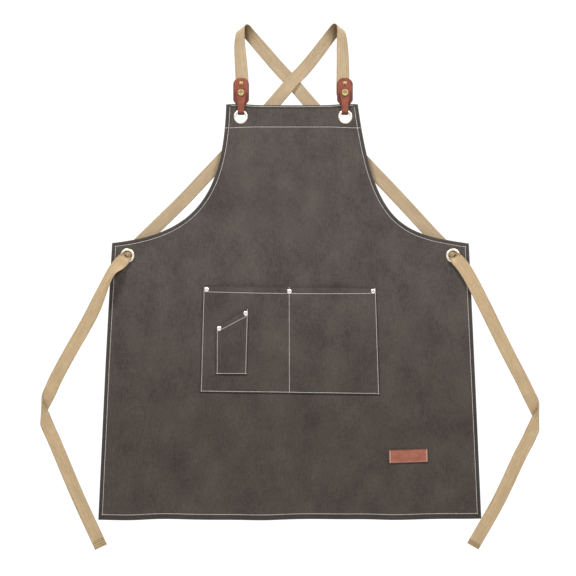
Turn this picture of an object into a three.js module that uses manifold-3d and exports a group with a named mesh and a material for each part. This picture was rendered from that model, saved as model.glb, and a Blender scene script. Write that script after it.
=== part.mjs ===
// Cross-back work apron: canvas bib apron with pockets, webbing shoulder straps that cross behind the
// wearer, leather tabs with snaps at the bib, and webbing ties that leave through side eyelets.
// Millimetres, +Z up, the front faces -Y, +X is the viewer's right. The origin lies midway between the
// two shoulder loops, at the height where they bear on the pegs that carry the apron.
import * as THREE from 'three';
import { mergeVertices } from 'three/addons/utils/BufferGeometryUtils.js';
import Module from 'manifold-3d';

// ---- driving dimensions -------------------------------------------------------------------------
const CLOTH = 1.2; // canvas, as one plain layer
const GAP = 0.3; // clearance between pieces that touch

const BIB_TOP = -153;
const HEM = -961;
const BIB_HALF = 128.5;
// Armholes as cubic curves: two control points and the outer end, for each side.
const ARMHOLE = {
  left: { bend: [[-134, -340], [-196, -406]], end: [-351, -423] },
  right: { bend: [[161, -394], [217, -405]], end: [345, -424] },
};
// Skirt sides: a point half-way down that gives the slight flare, and the hem corner.
const SKIRT = {
  left: { mid: [-364, -660], corner: [-375, HEM] },
  right: { mid: [356, -660], corner: [370, HEM] },
};

const EYELET = { hole: 9, barrel: 10, rim: 14, front: -2.0, back: 1.9 };
const BIB_EYELETS = { left: [-100, -177], right: [104, -177] };
const SIDE_EYELETS = { left: [-321, -447.5], right: [314, -447.5] };

// Pockets: corners as [x, z], belly as the most that the cloth stands off.
const MAIN_POCKET = {
  topLeft: [-172, -509], topRight: [164, -511], bottomLeft: [-178, -712], bottomRight: [170, -716],
  divider: 0.497, belly: 6.8,
};
const PEN_POCKET = {
  topLeft: [-147.5, -587.5], topRight: [-84, -550], bottomLeft: [-148, -679], bottomRight: [-88, -680],
  belly: 7.2,
};
const SEAM = { main: 9, pen: 10.5 }; // flat margin that is sewn down along a pocket's sides
const POCKET_RIVETS = {
  pocket_left: [-166.3, -513.5], pocket_middle: [-5, -517.5], pocket_right: [158.5, -517],
};
const PEN_RIVETS = { pen_low: [-141.5, -589.5], pen_high: [-90, -560] };
const RIVET = { cap: 5, capHeight: 2, shank: 1.5, hole: 1.9, burr: 4.2, burrHeight: 1 };

const WEBBING = { width: 25.4, thickness: 1.6, bunched: 11.5 };
const STRAP_Y = 5.4; // the webbing's middle behind the leather
const LOOP = { radius: 13, slant: 20.5 }; // roll over the peg and its slope in degrees
const LOOP_X = 99.5;
const LOOP_START_Z = -20.5;
const CROSSING_Z = -105;

const LEATHER = 2;
const TAB = {
  paddleTop: -101, paddleWidth: 31, paddleBottom: -140, neck: 16, foldWidth: 8.4,
  tongueWidth: 21.5, snapZ: -130.6, rivetZ: -111.5, foldZ: -169.3, hingeZ: -167,
  frontY: -3.4, backY: 3.3,
};
const TAB_X = { left: -99.3, right: 103.3 };
const SNAP = { cap: 7.5, socket: 6, knob: 2.2, shank: 1.6 };

const LABEL = { centre: [227, -838.5], width: 75, height: 24.5, tilt: 1.6, thickness: 1.8 };

// Ties: [x, y, z] on the middle line, from the eyelet to the free end.
const TIES = {
  left: [
    [-321, 0, -447.5], [-326, -4.6, -453], [-338, -5.6, -465], [-353, -6.5, -486], [-384, -7.5, -544],
    [-432, -8.5, -632], [-464, -9.5, -696], [-479, -10, -737], [-483, -10, -761],
    [-475, -9.5, -783], [-452, -8.5, -836], [-415, -7, -924], [-373, -6, -1015],
  ],
  right: [
    [314, 0, -447.5], [319, -4.6, -453], [330, -5.6, -465], [344, -6.5, -486], [374, -7.5, -544],
    [417, -8.5, -632], [450, -9.5, -696], [468, -10, -737], [474, -10, -764],
    [467, -9.5, -788], [443, -8.5, -837], [402, -7, -924], [351.5, -6, -1013],
  ],
};
// Where a tie turns over, as shares of its length: start and end of the half turn.
const TIE_TURN = [0.47, 0.62];

const SIDES = { left: -1, right: 1 };

// ---- finishes -----------------------------------------------------------------------------------
const finish = (color, roughness, metalness = 0) =>
  new THREE.MeshStandardMaterial({ color, roughness, metalness });
const CANVAS = finish(0x58504b, 0.9);
const COTTON = finish(0xcdb48c, 0.9);
const TAN_LEATHER = finish(0xa04b37, 0.55);
const PALE_LEATHER = finish(0xb9644e, 0.6);
const PALE_BRASS = finish(0xd8c496, 0.3, 1);
const BRASS = finish(0xb58d4a, 0.3, 1);
const NICKEL = finish(0xc9c6c0, 0.3, 1);

const apron = new THREE.Group();

function piece(name, geometry, material, parent = apron) {
  const mesh = new THREE.Mesh(geometry, material);
  mesh.name = name;
  parent.add(mesh);
  return mesh;
}

// ---- cutting ------------------------------------------------------------------------------------
const wasm = await Module();
wasm.setup();

function toSolid(geometry) {
  const bare = geometry.clone();
  bare.deleteAttribute('normal');
  bare.deleteAttribute('uv');
  const merged = mergeVertices(bare, 1e-4);
  return new wasm.Manifold(new wasm.Mesh({
    numProp: 3,
    vertProperties: new Float32Array(merged.attributes.position.array),
    triVerts: new Uint32Array(merged.index.array),
  }));
}

function toGeometry(solid) {
  const mesh = solid.getMesh();
  const geometry = new THREE.BufferGeometry();
  geometry.setAttribute('position', new THREE.BufferAttribute(new Float32Array(mesh.vertProperties), 3));
  geometry.setIndex(new THREE.BufferAttribute(new Uint32Array(mesh.triVerts), 1));
  geometry.computeVertexNormals();
  return geometry;
}

// Round holes through y at each [x, z].
function drilled(geometry, places, radius) {
  let solid = toSolid(geometry);
  for (const [x, z] of places) {
    const drill = new THREE.CylinderGeometry(radius, radius, 80, 12);
    drill.translate(x, 0, z);
    solid = solid.subtract(toSolid(drill));
  }
  return toGeometry(solid);
}

// ---- turned pieces: profiles are [radius, y], the axis is Y -------------------------------------
const turned = (profile, segments) =>
  new THREE.LatheGeometry(profile.map(([r, y]) => new THREE.Vector2(r, y)), segments);

// A ring or disc whose outline runs counter-clockwise when seen with +y up.
const ring = (inner, outer, low, high, segments) =>
  turned([[inner, low], [outer, low], [outer, high], [inner, high], [inner, low]], segments);

function capWithShank(radius, height, shank, length, segments) {
  return turned([
    [0, -height], [radius * 0.5, -height * 0.9], [radius * 0.85, -height * 0.55], [radius, 0],
    [shank, 0], [shank, length], [0, length],
  ], segments);
}

// ---- canvas panel -------------------------------------------------------------------------------
function panelShape() {
  const { left, right } = ARMHOLE;
  const shape = new THREE.Shape();
  shape.moveTo(...SKIRT.left.corner);
  shape.lineTo(...SKIRT.right.corner);
  shape.lineTo(...SKIRT.right.mid);
  shape.lineTo(...right.end);
  shape.bezierCurveTo(...right.bend[1], ...right.bend[0], BIB_HALF, BIB_TOP);
  shape.lineTo(-BIB_HALF, BIB_TOP);
  shape.bezierCurveTo(...left.bend[0], ...left.bend[1], ...left.end);
  shape.lineTo(...SKIRT.left.mid);
  shape.closePath();
  const hole = ([x, z], radius) => {
    const path = new THREE.Path();
    path.absarc(x, z, radius, 0, Math.PI * 2, true);
    shape.holes.push(path);
  };
  for (const side of Object.keys(SIDES)) {
    hole(BIB_EYELETS[side], EYELET.barrel + GAP);
    hole(SIDE_EYELETS[side], EYELET.barrel + GAP);
  }
  for (const place of Object.values(POCKET_RIVETS)) hole(place, RIVET.hole);
  return shape;
}

// A flat outline drawn in x and z, as thick as depth, with its front face at y = front.
function plate(shape, front, depth, curveSegments) {
  const geometry = new THREE.ExtrudeGeometry(shape, { depth, bevelEnabled: false, curveSegments });
  geometry.rotateX(Math.PI / 2);
  geometry.translate(0, front + depth, 0);
  return geometry;
}

piece('canvas_panel', plate(panelShape(), -CLOTH / 2, CLOTH, 12), CANVAS);

// ---- eyelets ------------------------------------------------------------------------------------
for (const [place, list] of [['bib', BIB_EYELETS], ['side', SIDE_EYELETS]]) {
  for (const [side, [x, z]] of Object.entries(list)) {
    const { hole, barrel, rim, front, back } = EYELET;
    const seat = -CLOTH / 2 - GAP;
    const eyelet = turned([
      [hole, front + 0.6], [hole + 0.9, front], [rim - 1.2, front], [rim, seat], [barrel, seat],
      [barrel, back], [hole, back], [hole, front + 0.6],
    ], 24);
    const washer = ring(barrel + GAP, rim, -seat, -seat + 0.9, 24);
    piece(`${place}_${side}_eyelet`, eyelet, PALE_BRASS).position.set(x, 0, z);
    piece(`${place}_${side}_washer`, washer, PALE_BRASS).position.set(x, 0, z);
  }
}

// ---- pockets ------------------------------------------------------------------------------------
const mix = (a, b, t) => a + (b - a) * t;
const share = (t) => Math.min(1, Math.max(0, t));
// Rise across a compartment of the given width: flat over the seam margins, full in the middle.
const swell = (t, width, seam) => Math.sin(Math.PI * share((t * width - seam) / (width - 2 * seam))) ** 0.75;
const hang = (v) => (1 - share(v) ** 2.6) ** 0.8;

// How far the main pocket's inner side stands off the panel at u across and v down.
function mainBelly(u, v) {
  const { divider, belly, topLeft, topRight } = MAIN_POCKET;
  const width = (topRight[0] - topLeft[0]) / 2;
  const inCompartment = u < divider ? u / divider : (u - divider) / (1 - divider);
  return belly * swell(inCompartment, width, SEAM.main) * hang(v);
}

const MAIN_INNER = -CLOTH / 2 - GAP;
const mainOuterY = (u, v) => MAIN_INNER - mainBelly(u, v) - CLOTH;

function cornersAt({ topLeft, topRight, bottomLeft, bottomRight }, u, v) {
  const along = (i) => mix(mix(topLeft[i], topRight[i], u), mix(bottomLeft[i], bottomRight[i], u), v);
  return [along(0), along(1)];
}

// u and v of a point on the main pocket, which is close to a rectangle.
function mainUV(x, z) {
  const { topLeft, topRight, bottomLeft, bottomRight } = MAIN_POCKET;
  let u = 0.5;
  let v = 0.5;
  for (let pass = 0; pass < 4; pass += 1) {
    v = (z - mix(topLeft[1], topRight[1], u))
      / (mix(bottomLeft[1], bottomRight[1], u) - mix(topLeft[1], topRight[1], u));
    const left = mix(topLeft[0], bottomLeft[0], v);
    u = (x - left) / (mix(topRight[0], bottomRight[0], v) - left);
  }
  return [u, v];
}

// A cloth shell over the four corners: inner(u, v) is the y of its inner side, and it is CLOTH thick.
function shell(corners, columns, rows, inner) {
  const geometry = new THREE.BoxGeometry(1, 1, 1, columns, 1, rows);
  const place = geometry.attributes.position;
  for (let i = 0; i < place.count; i += 1) {
    const u = place.getX(i) + 0.5;
    const v = 0.5 - place.getZ(i);
    const [x, z] = cornersAt(corners, u, v);
    const outward = place.getY(i) < 0 ? CLOTH : 0;
    place.setXYZ(i, x, inner(u, v, x, z) - outward, z);
  }
  return geometry;
}

const mainShell = shell(MAIN_POCKET, 28, 8, (u, v) => MAIN_INNER - mainBelly(u, v));
const mainHoles = [...Object.values(POCKET_RIVETS), ...Object.values(PEN_RIVETS)];
piece('main_pocket', drilled(mainShell, mainHoles, RIVET.hole), CANVAS);

const PEN_STAND_OFF = 0.55; // clears the facets of the main pocket below
const PEN_RIVET_RISE = 0.8; // the pen pocket already rises a little under its rivets
function penInner(u, v, x, z) {
  const { topLeft, topRight, belly } = PEN_POCKET;
  const rise = belly * swell(u, topRight[0] - topLeft[0], SEAM.pen) * hang(v);
  return mainOuterY(...mainUV(x, z)) - PEN_STAND_OFF - rise;
}
const penShell = shell(PEN_POCKET, 12, 8, penInner);
piece('pen_pocket', drilled(penShell, Object.values(PEN_RIVETS), RIVET.hole), CANVAS);

// ---- pocket rivets: a domed cap with its shank in front, a burr behind ---------------------------
function rivet(name, [x, z], seatY, burrY) {
  const shank = burrY + RIVET.burrHeight - seatY;
  const cap = capWithShank(RIVET.cap, RIVET.capHeight, RIVET.shank, shank, 14);
  piece(`${name}_rivet`, cap, NICKEL).position.set(x, seatY, z);
  const burr = ring(RIVET.shank + GAP, RIVET.burr, 0, RIVET.burrHeight, 12);
  piece(`${name}_burr`, burr, NICKEL).position.set(x, burrY, z);
}

// The lowest y that the cap may take over a curved surface.
function frontmost(surface, [x, z], radius) {
  const around = [[0, 0], [1, 0], [-1, 0], [0, 1], [0, -1]];
  return Math.min(...around.map(([dx, dz]) => surface(x + dx * radius, z + dz * radius)));
}

const mainSurface = (x, z) => mainOuterY(...mainUV(x, z));
for (const [name, place] of Object.entries(POCKET_RIVETS)) {
  rivet(name, place, frontmost(mainSurface, place, RIVET.cap) - 2 * GAP, CLOTH / 2 + GAP);
}
for (const [name, place] of Object.entries(PEN_RIVETS)) {
  const seat = frontmost(mainSurface, place, RIVET.cap) - PEN_STAND_OFF - CLOTH - PEN_RIVET_RISE;
  const inside = mainSurface(...place) + CLOTH + GAP + 0.5;
  rivet(name, place, seat - GAP, inside);
}

// ---- label --------------------------------------------------------------------------------------
{
  const { centre: [x, z], width, height, tilt, thickness } = LABEL;
  const patch = new THREE.BoxGeometry(width, thickness, height);
  const mesh = piece('leather_label', patch, PALE_LEATHER);
  mesh.position.set(x, -CLOTH / 2 - GAP - thickness / 2, z);
  mesh.rotation.y = THREE.MathUtils.degToRad(-tilt);
}

// ---- webbing ------------------------------------------------------------------------------------
const Y_AXIS = new THREE.Vector3(0, 1, 0);

// A flat band through stations { p: middle, b: across, w: width }, as thick as thickness.
function band(stations, thickness) {
  const steps = stations.length - 1;
  const geometry = new THREE.BoxGeometry(1, 1, 1, 1, 1, steps);
  const place = geometry.attributes.position;
  const at = new THREE.Vector3();
  for (let i = 0; i < place.count; i += 1) {
    const index = Math.round((place.getZ(i) + 0.5) * steps);
    const { p, b, w } = stations[index];
    const next = stations[Math.min(index + 1, steps)].p;
    const along = next.clone().sub(stations[Math.max(index - 1, 0)].p).normalize();
    const across = b.clone().addScaledVector(along, -b.dot(along)).normalize();
    const normal = along.clone().cross(across);
    at.copy(p).addScaledVector(across, place.getX(i) * w).addScaledVector(normal, place.getY(i) * thickness);
    place.setXYZ(i, at.x, at.y, at.z);
  }
  return geometry;
}

// Stations on a curve through the points, lying face on to the front.
function faceOn(points, count, width = () => WEBBING.width, from = 0, to = 1) {
  const curve = new THREE.CatmullRomCurve3(points.map((p) => new THREE.Vector3(...p)), false, 'centripetal');
  const stations = [];
  for (let i = 0; i <= count; i += 1) {
    const s = mix(from, to, i / count);
    const along = curve.getTangentAt(s);
    stations.push({ p: curve.getPointAt(s), b: along.cross(Y_AXIS).normalize(), w: width(s) });
  }
  return stations;
}

// The roll over the peg: the band climbs a round bar that slants inwards, and leaves it behind.
function overPeg(side, start, steps) {
  const slant = THREE.MathUtils.degToRad(LOOP.slant);
  const bar = new THREE.Vector3(-side * Math.cos(slant), 0, Math.sin(slant));
  const up = new THREE.Vector3(side * Math.sin(slant), 0, Math.cos(slant));
  const stations = [];
  for (let i = 1; i <= steps; i += 1) {
    const turn = (Math.PI * i) / steps;
    const run = LOOP.radius * turn * Math.tan(slant);
    const p = start.clone().addScaledVector(bar, run).addScaledVector(up, LOOP.radius * Math.sin(turn));
    p.y += LOOP.radius * (1 - Math.cos(turn));
    const around = up.clone().multiplyScalar(Math.cos(turn)).addScaledVector(Y_AXIS, Math.sin(turn));
    const across = bar.clone().multiplyScalar(Math.cos(slant)).addScaledVector(around, -Math.sin(slant));
    stations.push({ p, b: across.multiplyScalar(-side), w: WEBBING.width });
  }
  return stations;
}

// Shoulder strap from behind a tab, over the peg, across the back and down to the far eyelet.
function shoulderStrap(name, side, crossingY) {
  const own = SIDES[name];
  const tabX = TAB_X[name];
  const top = new THREE.Vector3(own * LOOP_X, STRAP_Y, LOOP_START_Z);
  const startZ = TAB.paddleTop - 3;
  const front = [];
  for (let i = 0; i <= 4; i += 1) {
    const t = i / 4;
    const p = new THREE.Vector3(mix(tabX, top.x, t), STRAP_Y, mix(startZ, top.z, t));
    front.push({ p, b: new THREE.Vector3(1, 0, 0), w: WEBBING.width });
  }
  const roll = overPeg(own, top, 10);
  const leaves = roll[roll.length - 1].p;
  const [eyeX, eyeZ] = SIDE_EYELETS[side];
  const far = SIDES[side];
  const route = [
    leaves.toArray(), [own * 60, mix(leaves.y, crossingY, 0.32), -44],
    [own * 2, crossingY, CROSSING_Z], [far * 39, crossingY - 3, -153],
    [far * 125, 9.5, -247], [far * 213, 8.5, -340], [eyeX - far * 32, 7, eyeZ + 33],
    [eyeX - far * 14, 5, eyeZ + 14.5], [eyeX - far * 1.5, 1.9, eyeZ + 1.5],
  ];
  const bunch = (s) => mix(WEBBING.width, WEBBING.bunched, THREE.MathUtils.smoothstep(s, 0.9, 0.965));
  const back = faceOn(route, 34, bunch).slice(1);
  for (const station of back) station.b.multiplyScalar(-own);
  for (const station of roll) station.b.multiplyScalar(-own);
  return band([...front, ...roll, ...back], WEBBING.thickness);
}

piece('left_shoulder_strap', shoulderStrap('left', 'right', 19.5), COTTON);
piece('right_shoulder_strap', shoulderStrap('right', 'left', 15.5), COTTON);

// A tie leaves its eyelet bunched, lies flat, turns over once and ends in a plain hem.
function tie(side) {
  const width = (s) => mix(WEBBING.bunched, WEBBING.width, THREE.MathUtils.smoothstep(s, 0.012, 0.06));
  const stations = faceOn(TIES[side], 52, width, 0.004, 1);
  stations.forEach((station, i) => {
    const turn = Math.PI * THREE.MathUtils.smoothstep(i / (stations.length - 1), ...TIE_TURN);
    const near = stations[Math.max(i - 1, 0)].p;
    const along = stations[Math.min(i + 1, stations.length - 1)].p.clone().sub(near).normalize();
    station.b.applyAxisAngle(along, SIDES[side] * turn);
  });
  return band(stations, WEBBING.thickness);
}

piece('left_tie', tie('left'), COTTON);
piece('right_tie', tie('right'), COTTON);

// ---- leather tabs -------------------------------------------------------------------------------
// Width of the rear leg and paddle at height z: narrow through the eyelet, round at the top.
function paddleWidth(z) {
  const { paddleTop, paddleBottom, neck, foldWidth, foldZ } = TAB;
  const corner = 10;
  if (z > paddleTop - corner) {
    const rise = z - (paddleTop - corner);
    return TAB.paddleWidth - 2 * (corner - Math.sqrt(Math.max(0, corner ** 2 - rise ** 2)));
  }
  const shoulder = THREE.MathUtils.smoothstep(z, paddleBottom - 11, paddleBottom + 1);
  const leg = mix(foldWidth, neck, THREE.MathUtils.smoothstep(z, foldZ - 1, foldZ + 9));
  return mix(leg, TAB.paddleWidth, shoulder);
}

// The leather's rear part: U-bend through the eyelet, leg up behind the bib, paddle above it.
function rearLeather() {
  const bend = (TAB.backY - TAB.frontY) / 2;
  const middle = (TAB.backY + TAB.frontY) / 2;
  const across = new THREE.Vector3(1, 0, 0);
  const stations = [];
  for (let i = 0; i <= 8; i += 1) {
    const turn = (Math.PI * i) / 8;
    const p = new THREE.Vector3(0, middle - bend * Math.cos(turn), TAB.foldZ - bend * Math.sin(turn));
    stations.push({ p, b: across, w: TAB.foldWidth });
  }
  const heights = [-164, -160, -152, -149, -146, -143, -140, -124, -111, -107, -104, -102.2, -101.3, -101.02];
  for (const z of heights) {
    stations.push({ p: new THREE.Vector3(0, TAB.backY, z), b: across, w: paddleWidth(z) });
  }
  return band(stations, LEATHER);
}

function tongueShape() {
  const base = TAB.hingeZ + 1.3;
  const half = TAB.tongueWidth / 2;
  const shape = new THREE.Shape();
  shape.moveTo(-7, base);
  shape.lineTo(7, base);
  shape.lineTo(8, BIB_TOP - 3);
  shape.quadraticCurveTo(8.3, -146, half, TAB.snapZ);
  shape.absarc(0, TAB.snapZ, half, 0, Math.PI, false);
  shape.quadraticCurveTo(-8.3, -146, -8, BIB_TOP - 3);
  shape.closePath();
  const hole = new THREE.Path();
  hole.absarc(0, TAB.snapZ, SNAP.shank + GAP, 0, Math.PI * 2, true);
  shape.holes.push(hole);
  return shape;
}

for (const side of Object.keys(SIDES)) {
  const tab = new THREE.Group();
  tab.position.x = TAB_X[side];
  apron.add(tab);
  const half = LEATHER / 2;
  const tongueFront = TAB.frontY - half;
  const tongueBack = TAB.frontY + half;
  const paddleFront = TAB.backY - half;
  const paddleBack = TAB.backY + half;

  const leather = drilled(rearLeather(), [[0, TAB.snapZ], [0, TAB.rivetZ]], SNAP.shank + GAP);
  piece(`${side}_tab_paddle`, leather, TAN_LEATHER, tab);
  piece(`${side}_tab_tongue`, plate(tongueShape(), tongueFront, LEATHER, 6), TAN_LEATHER, tab);

  const endTop = TAB.paddleTop - 7;
  const end = new THREE.BoxGeometry(WEBBING.width, WEBBING.thickness, 16);
  end.translate(0, STRAP_Y, endTop - 8);
  piece(`${side}_strap_end`, drilled(end, [[0, TAB.rivetZ]], RIVET.hole), COTTON, tab);

  const burrY = STRAP_Y + WEBBING.thickness / 2 + GAP;
  const seat = paddleFront - GAP;
  const tabRivet = capWithShank(4.4, 1.4, RIVET.shank, burrY + RIVET.burrHeight - seat, 14);
  piece(`${side}_tab_rivet`, tabRivet, BRASS, tab).position.set(0, seat, TAB.rivetZ);
  const burr = ring(RIVET.shank + GAP, RIVET.burr, 0, RIVET.burrHeight, 12);
  piece(`${side}_tab_burr`, burr, BRASS, tab).position.set(0, burrY, TAB.rivetZ);

  // Snap: cap and socket on the tongue, stud and post on the paddle.
  const capShank = tongueBack - tongueFront + GAP + 0.4;
  const cap = capWithShank(SNAP.cap, 2, SNAP.shank, capShank, 18);
  piece(`${side}_snap_cap`, cap, BRASS, tab).position.set(0, tongueFront - GAP, TAB.snapZ);
  const socketLow = tongueBack + GAP + 0.4;
  const socket = ring(SNAP.knob + 0.4, SNAP.socket, socketLow, 0.9, 16);
  piece(`${side}_snap_socket`, socket, BRASS, tab).position.z = TAB.snapZ;
  const studBase = paddleFront - GAP;
  const stud = turned([
    [0, -0.6], [SNAP.knob, -0.4], [SNAP.knob, 1.3], [5.2, 1.3], [5.2, studBase],
    [SNAP.shank, studBase], [SNAP.shank, paddleBack + GAP + 1], [0, paddleBack + GAP + 1],
  ], 16);
  piece(`${side}_snap_stud`, stud, BRASS, tab).position.z = TAB.snapZ;
  const post = ring(SNAP.shank + GAP, 5, paddleBack + GAP, paddleBack + GAP + 1, 16);
  piece(`${side}_snap_post`, post, BRASS, tab).position.z = TAB.snapZ;
}

export default apron;
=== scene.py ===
"""Looks of a cross-back work apron: draped canvas, sewn pockets, webbing, leather tabs and metal fittings.

Metres, +Z up, the front faces -Y and +X is the viewer's right. Every piece is built in place around the
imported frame, with its object left at the origin.
"""

import logging
import math
from dataclasses import dataclass, field
from enum import Enum
from typing import Callable, Sequence

import bpy
import numpy as np
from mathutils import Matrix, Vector
from mathutils.geometry import delaunay_2d_cdt


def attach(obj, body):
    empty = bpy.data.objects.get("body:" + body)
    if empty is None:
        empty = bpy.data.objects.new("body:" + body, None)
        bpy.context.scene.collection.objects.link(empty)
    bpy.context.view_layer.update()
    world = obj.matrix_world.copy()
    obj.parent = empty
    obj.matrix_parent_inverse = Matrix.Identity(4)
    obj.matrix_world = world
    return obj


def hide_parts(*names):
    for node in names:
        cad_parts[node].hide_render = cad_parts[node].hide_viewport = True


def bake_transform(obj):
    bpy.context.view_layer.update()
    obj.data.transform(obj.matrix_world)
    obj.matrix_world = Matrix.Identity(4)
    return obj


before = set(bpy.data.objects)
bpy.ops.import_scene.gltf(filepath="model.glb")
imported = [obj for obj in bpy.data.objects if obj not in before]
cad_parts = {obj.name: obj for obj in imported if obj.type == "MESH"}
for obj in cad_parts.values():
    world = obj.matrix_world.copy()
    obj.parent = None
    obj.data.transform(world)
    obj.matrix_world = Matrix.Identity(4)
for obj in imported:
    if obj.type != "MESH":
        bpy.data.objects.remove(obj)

logging.basicConfig(level=logging.INFO, format="%(name)s: %(message)s")
LOG = logging.getLogger("apron")

MM = 0.001
Points = np.ndarray
Height = Callable[[Points, Points], Points]
Triple = tuple[float, float, float]
Colour = Triple
Place = Triple


class Side(Enum):
    """The two sides of the apron, as the viewer sees them; the value is the sign of x."""

    LEFT = -1
    RIGHT = 1

    @property
    def word(self) -> str:
        """The side's name inside piece and body names."""
        return self.name.lower()


class Slot(Enum):
    """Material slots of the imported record."""

    CANVAS = "canvas"
    WEBBING = "webbing"
    TAB = "tab_leather"
    LABEL = "label_leather"
    EYELET = "eyelet_brass"
    SNAP = "snap_brass"
    RIVET = "rivet_nickel"
    THREAD = "thread"


# ---- small mathematics ---------------------------------------------------------------------------
def ease(x: Points, low: float, high: float) -> Points:
    """Smooth step from 0 at low to 1 at high."""
    t = np.clip((np.asarray(x, float) - low) / (high - low), 0.0, 1.0)
    return t * t * (3.0 - 2.0 * t)


def bump(x: Points, centre: float, half_width: float) -> Points:
    """A bell of height 1 at centre that fades over half_width."""
    return np.exp(-(((np.asarray(x, float) - centre) / half_width) ** 2))


def fold_setback(inset: Points, radius: float) -> Points:
    """How far a folded edge's face lies behind the flat face, at an inset from the edge.

    Args:
        inset: distance from the folded edge.
        radius: half of the folded edge's thickness.

    Returns:
        The setback, which is radius at the edge and nothing past one radius.
    """
    reach = np.clip(radius - np.asarray(inset, float), 0.0, radius)
    return radius - np.sqrt(np.maximum(radius**2 - reach**2, 0.0))


class Ripple:
    """Smooth value noise over the x, z plane, from a seeded table of heights."""

    def __init__(self, pitch: float, seed: int, stretch: float = 1.0) -> None:
        """Prepares the table.

        Args:
            pitch: distance between humps along x.
            seed: seed of the table.
            stretch: how many times longer the humps are along z.
        """
        self.pitch = pitch
        self.stretch = stretch
        self.table = np.random.default_rng(seed).uniform(-1.0, 1.0, (64, 64))

    def __call__(self, x: Points, z: Points) -> Points:
        """Heights from -1 to 1 at each x and z."""
        u = np.asarray(x, float) / self.pitch + 31.7
        v = np.asarray(z, float) / (self.pitch * self.stretch) + 31.7
        i, j = np.floor(u).astype(int), np.floor(v).astype(int)
        s, t = u - i, v - j
        s, t = s * s * (3 - 2 * s), t * t * (3 - 2 * t)

        def corner(di: int, dj: int) -> Points:
            return self.table[(i + di) % 64, (j + dj) % 64]

        near = corner(0, 0) * (1 - s) + corner(1, 0) * s
        far = corner(0, 1) * (1 - s) + corner(1, 1) * s
        return near * (1 - t) + far * t


def unit(v: Points) -> Points:
    """Rows of v at length one."""
    return v / np.maximum(np.linalg.norm(v, axis=-1, keepdims=True), 1e-12)


class Route:
    """A smooth centripetal curve through given points, with stations at even distances."""

    def __init__(self, points: Sequence[Sequence[float]], detail: int = 60) -> None:
        """Samples the curve.

        Args:
            points: the points it passes through, in metres.
            detail: samples for each span.
        """
        p = np.asarray(points, float)
        p = np.vstack([2 * p[0] - p[1], p, 2 * p[-1] - p[-2]])
        rows = []
        self.knots = []
        for i in range(1, len(p) - 2):
            gaps = np.sqrt(np.linalg.norm(np.diff(p[i - 1:i + 3], axis=0), axis=1))
            d0, d1, d2 = np.maximum(gaps, 1e-6)
            t1 = ((p[i] - p[i - 1]) / d0 - (p[i + 1] - p[i - 1]) / (d0 + d1) + (p[i + 1] - p[i]) / d1) * d1
            t2 = ((p[i + 1] - p[i]) / d1 - (p[i + 2] - p[i]) / (d1 + d2) + (p[i + 2] - p[i + 1]) / d2) * d1
            s = np.linspace(0, 1, detail, endpoint=False)[:, None]
            a, b = p[i], p[i + 1]
            rows.append(a + t1 * s + (-3 * a + 3 * b - 2 * t1 - t2) * s**2 + (2 * a - 2 * b + t1 + t2) * s**3)
        self.samples = np.vstack([*rows, p[-2][None]])
        steps = np.linalg.norm(np.diff(self.samples, axis=0), axis=1)
        self.distance = np.concatenate([[0.0], np.cumsum(steps)])

    @property
    def length(self) -> float:
        """Length of the curve."""
        return float(self.distance[-1])

    def at(self, distances: Points) -> Points:
        """Points at the given distances from the start."""
        return np.stack([np.interp(distances, self.distance, self.samples[:, k]) for k in range(3)], axis=1)


# ---- meshes --------------------------------------------------------------------------------------
@dataclass
class Cloth:
    """A mesh under construction: corners, faces, and what the materials read."""

    corners: Points
    faces: list[tuple[int, ...]]
    uv: Points | None = None
    tones: dict[str, Points] = field(default_factory=dict)

    def piece(self, name: str, material: bpy.types.Material, crease: float = 50.0) -> bpy.types.Object:
        """Makes the Blender object.

        Args:
            name: the piece's name.
            material: its finish.
            crease: angle in degrees past which an edge is drawn sharp.

        Returns:
            The new object, at the origin.
        """
        mesh = bpy.data.meshes.new(name)
        mesh.from_pydata(np.asarray(self.corners, float).tolist(), [], self.faces)
        if self.uv is not None:
            layer = mesh.uv_layers.new(name="UVMap")
            index = np.zeros(len(mesh.loops), int)
            mesh.loops.foreach_get("vertex_index", index)
            layer.data.foreach_set("uv", np.asarray(self.uv, np.float32)[index].ravel())
        for word, values in self.tones.items():
            layer = mesh.attributes.new(word, "FLOAT", "POINT")
            layer.data.foreach_set("value", np.asarray(values, np.float32))
        mesh.shade_smooth()
        mesh.set_sharp_from_angle(angle=math.radians(crease))
        mesh.materials.append(material)
        mesh.update()
        piece = bpy.data.objects.new(name, mesh)
        bpy.context.scene.collection.objects.link(piece)
        return piece


def lattice(rows: int, columns: int, start: int = 0, closed: bool = False) -> list[tuple[int, ...]]:
    """Quads between rows of corners.

    Args:
        rows: number of rows.
        columns: corners in each row.
        start: index of the first corner.
        closed: whether each row joins end to end.

    Returns:
        The faces.
    """
    faces = []
    for i in range(rows - 1):
        for j in range(columns if closed else columns - 1):
            k = (j + 1) % columns
            a, b = start + i * columns, start + (i + 1) * columns
            faces.append((a + j, b + j, b + k, a + k))
    return faces


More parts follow.
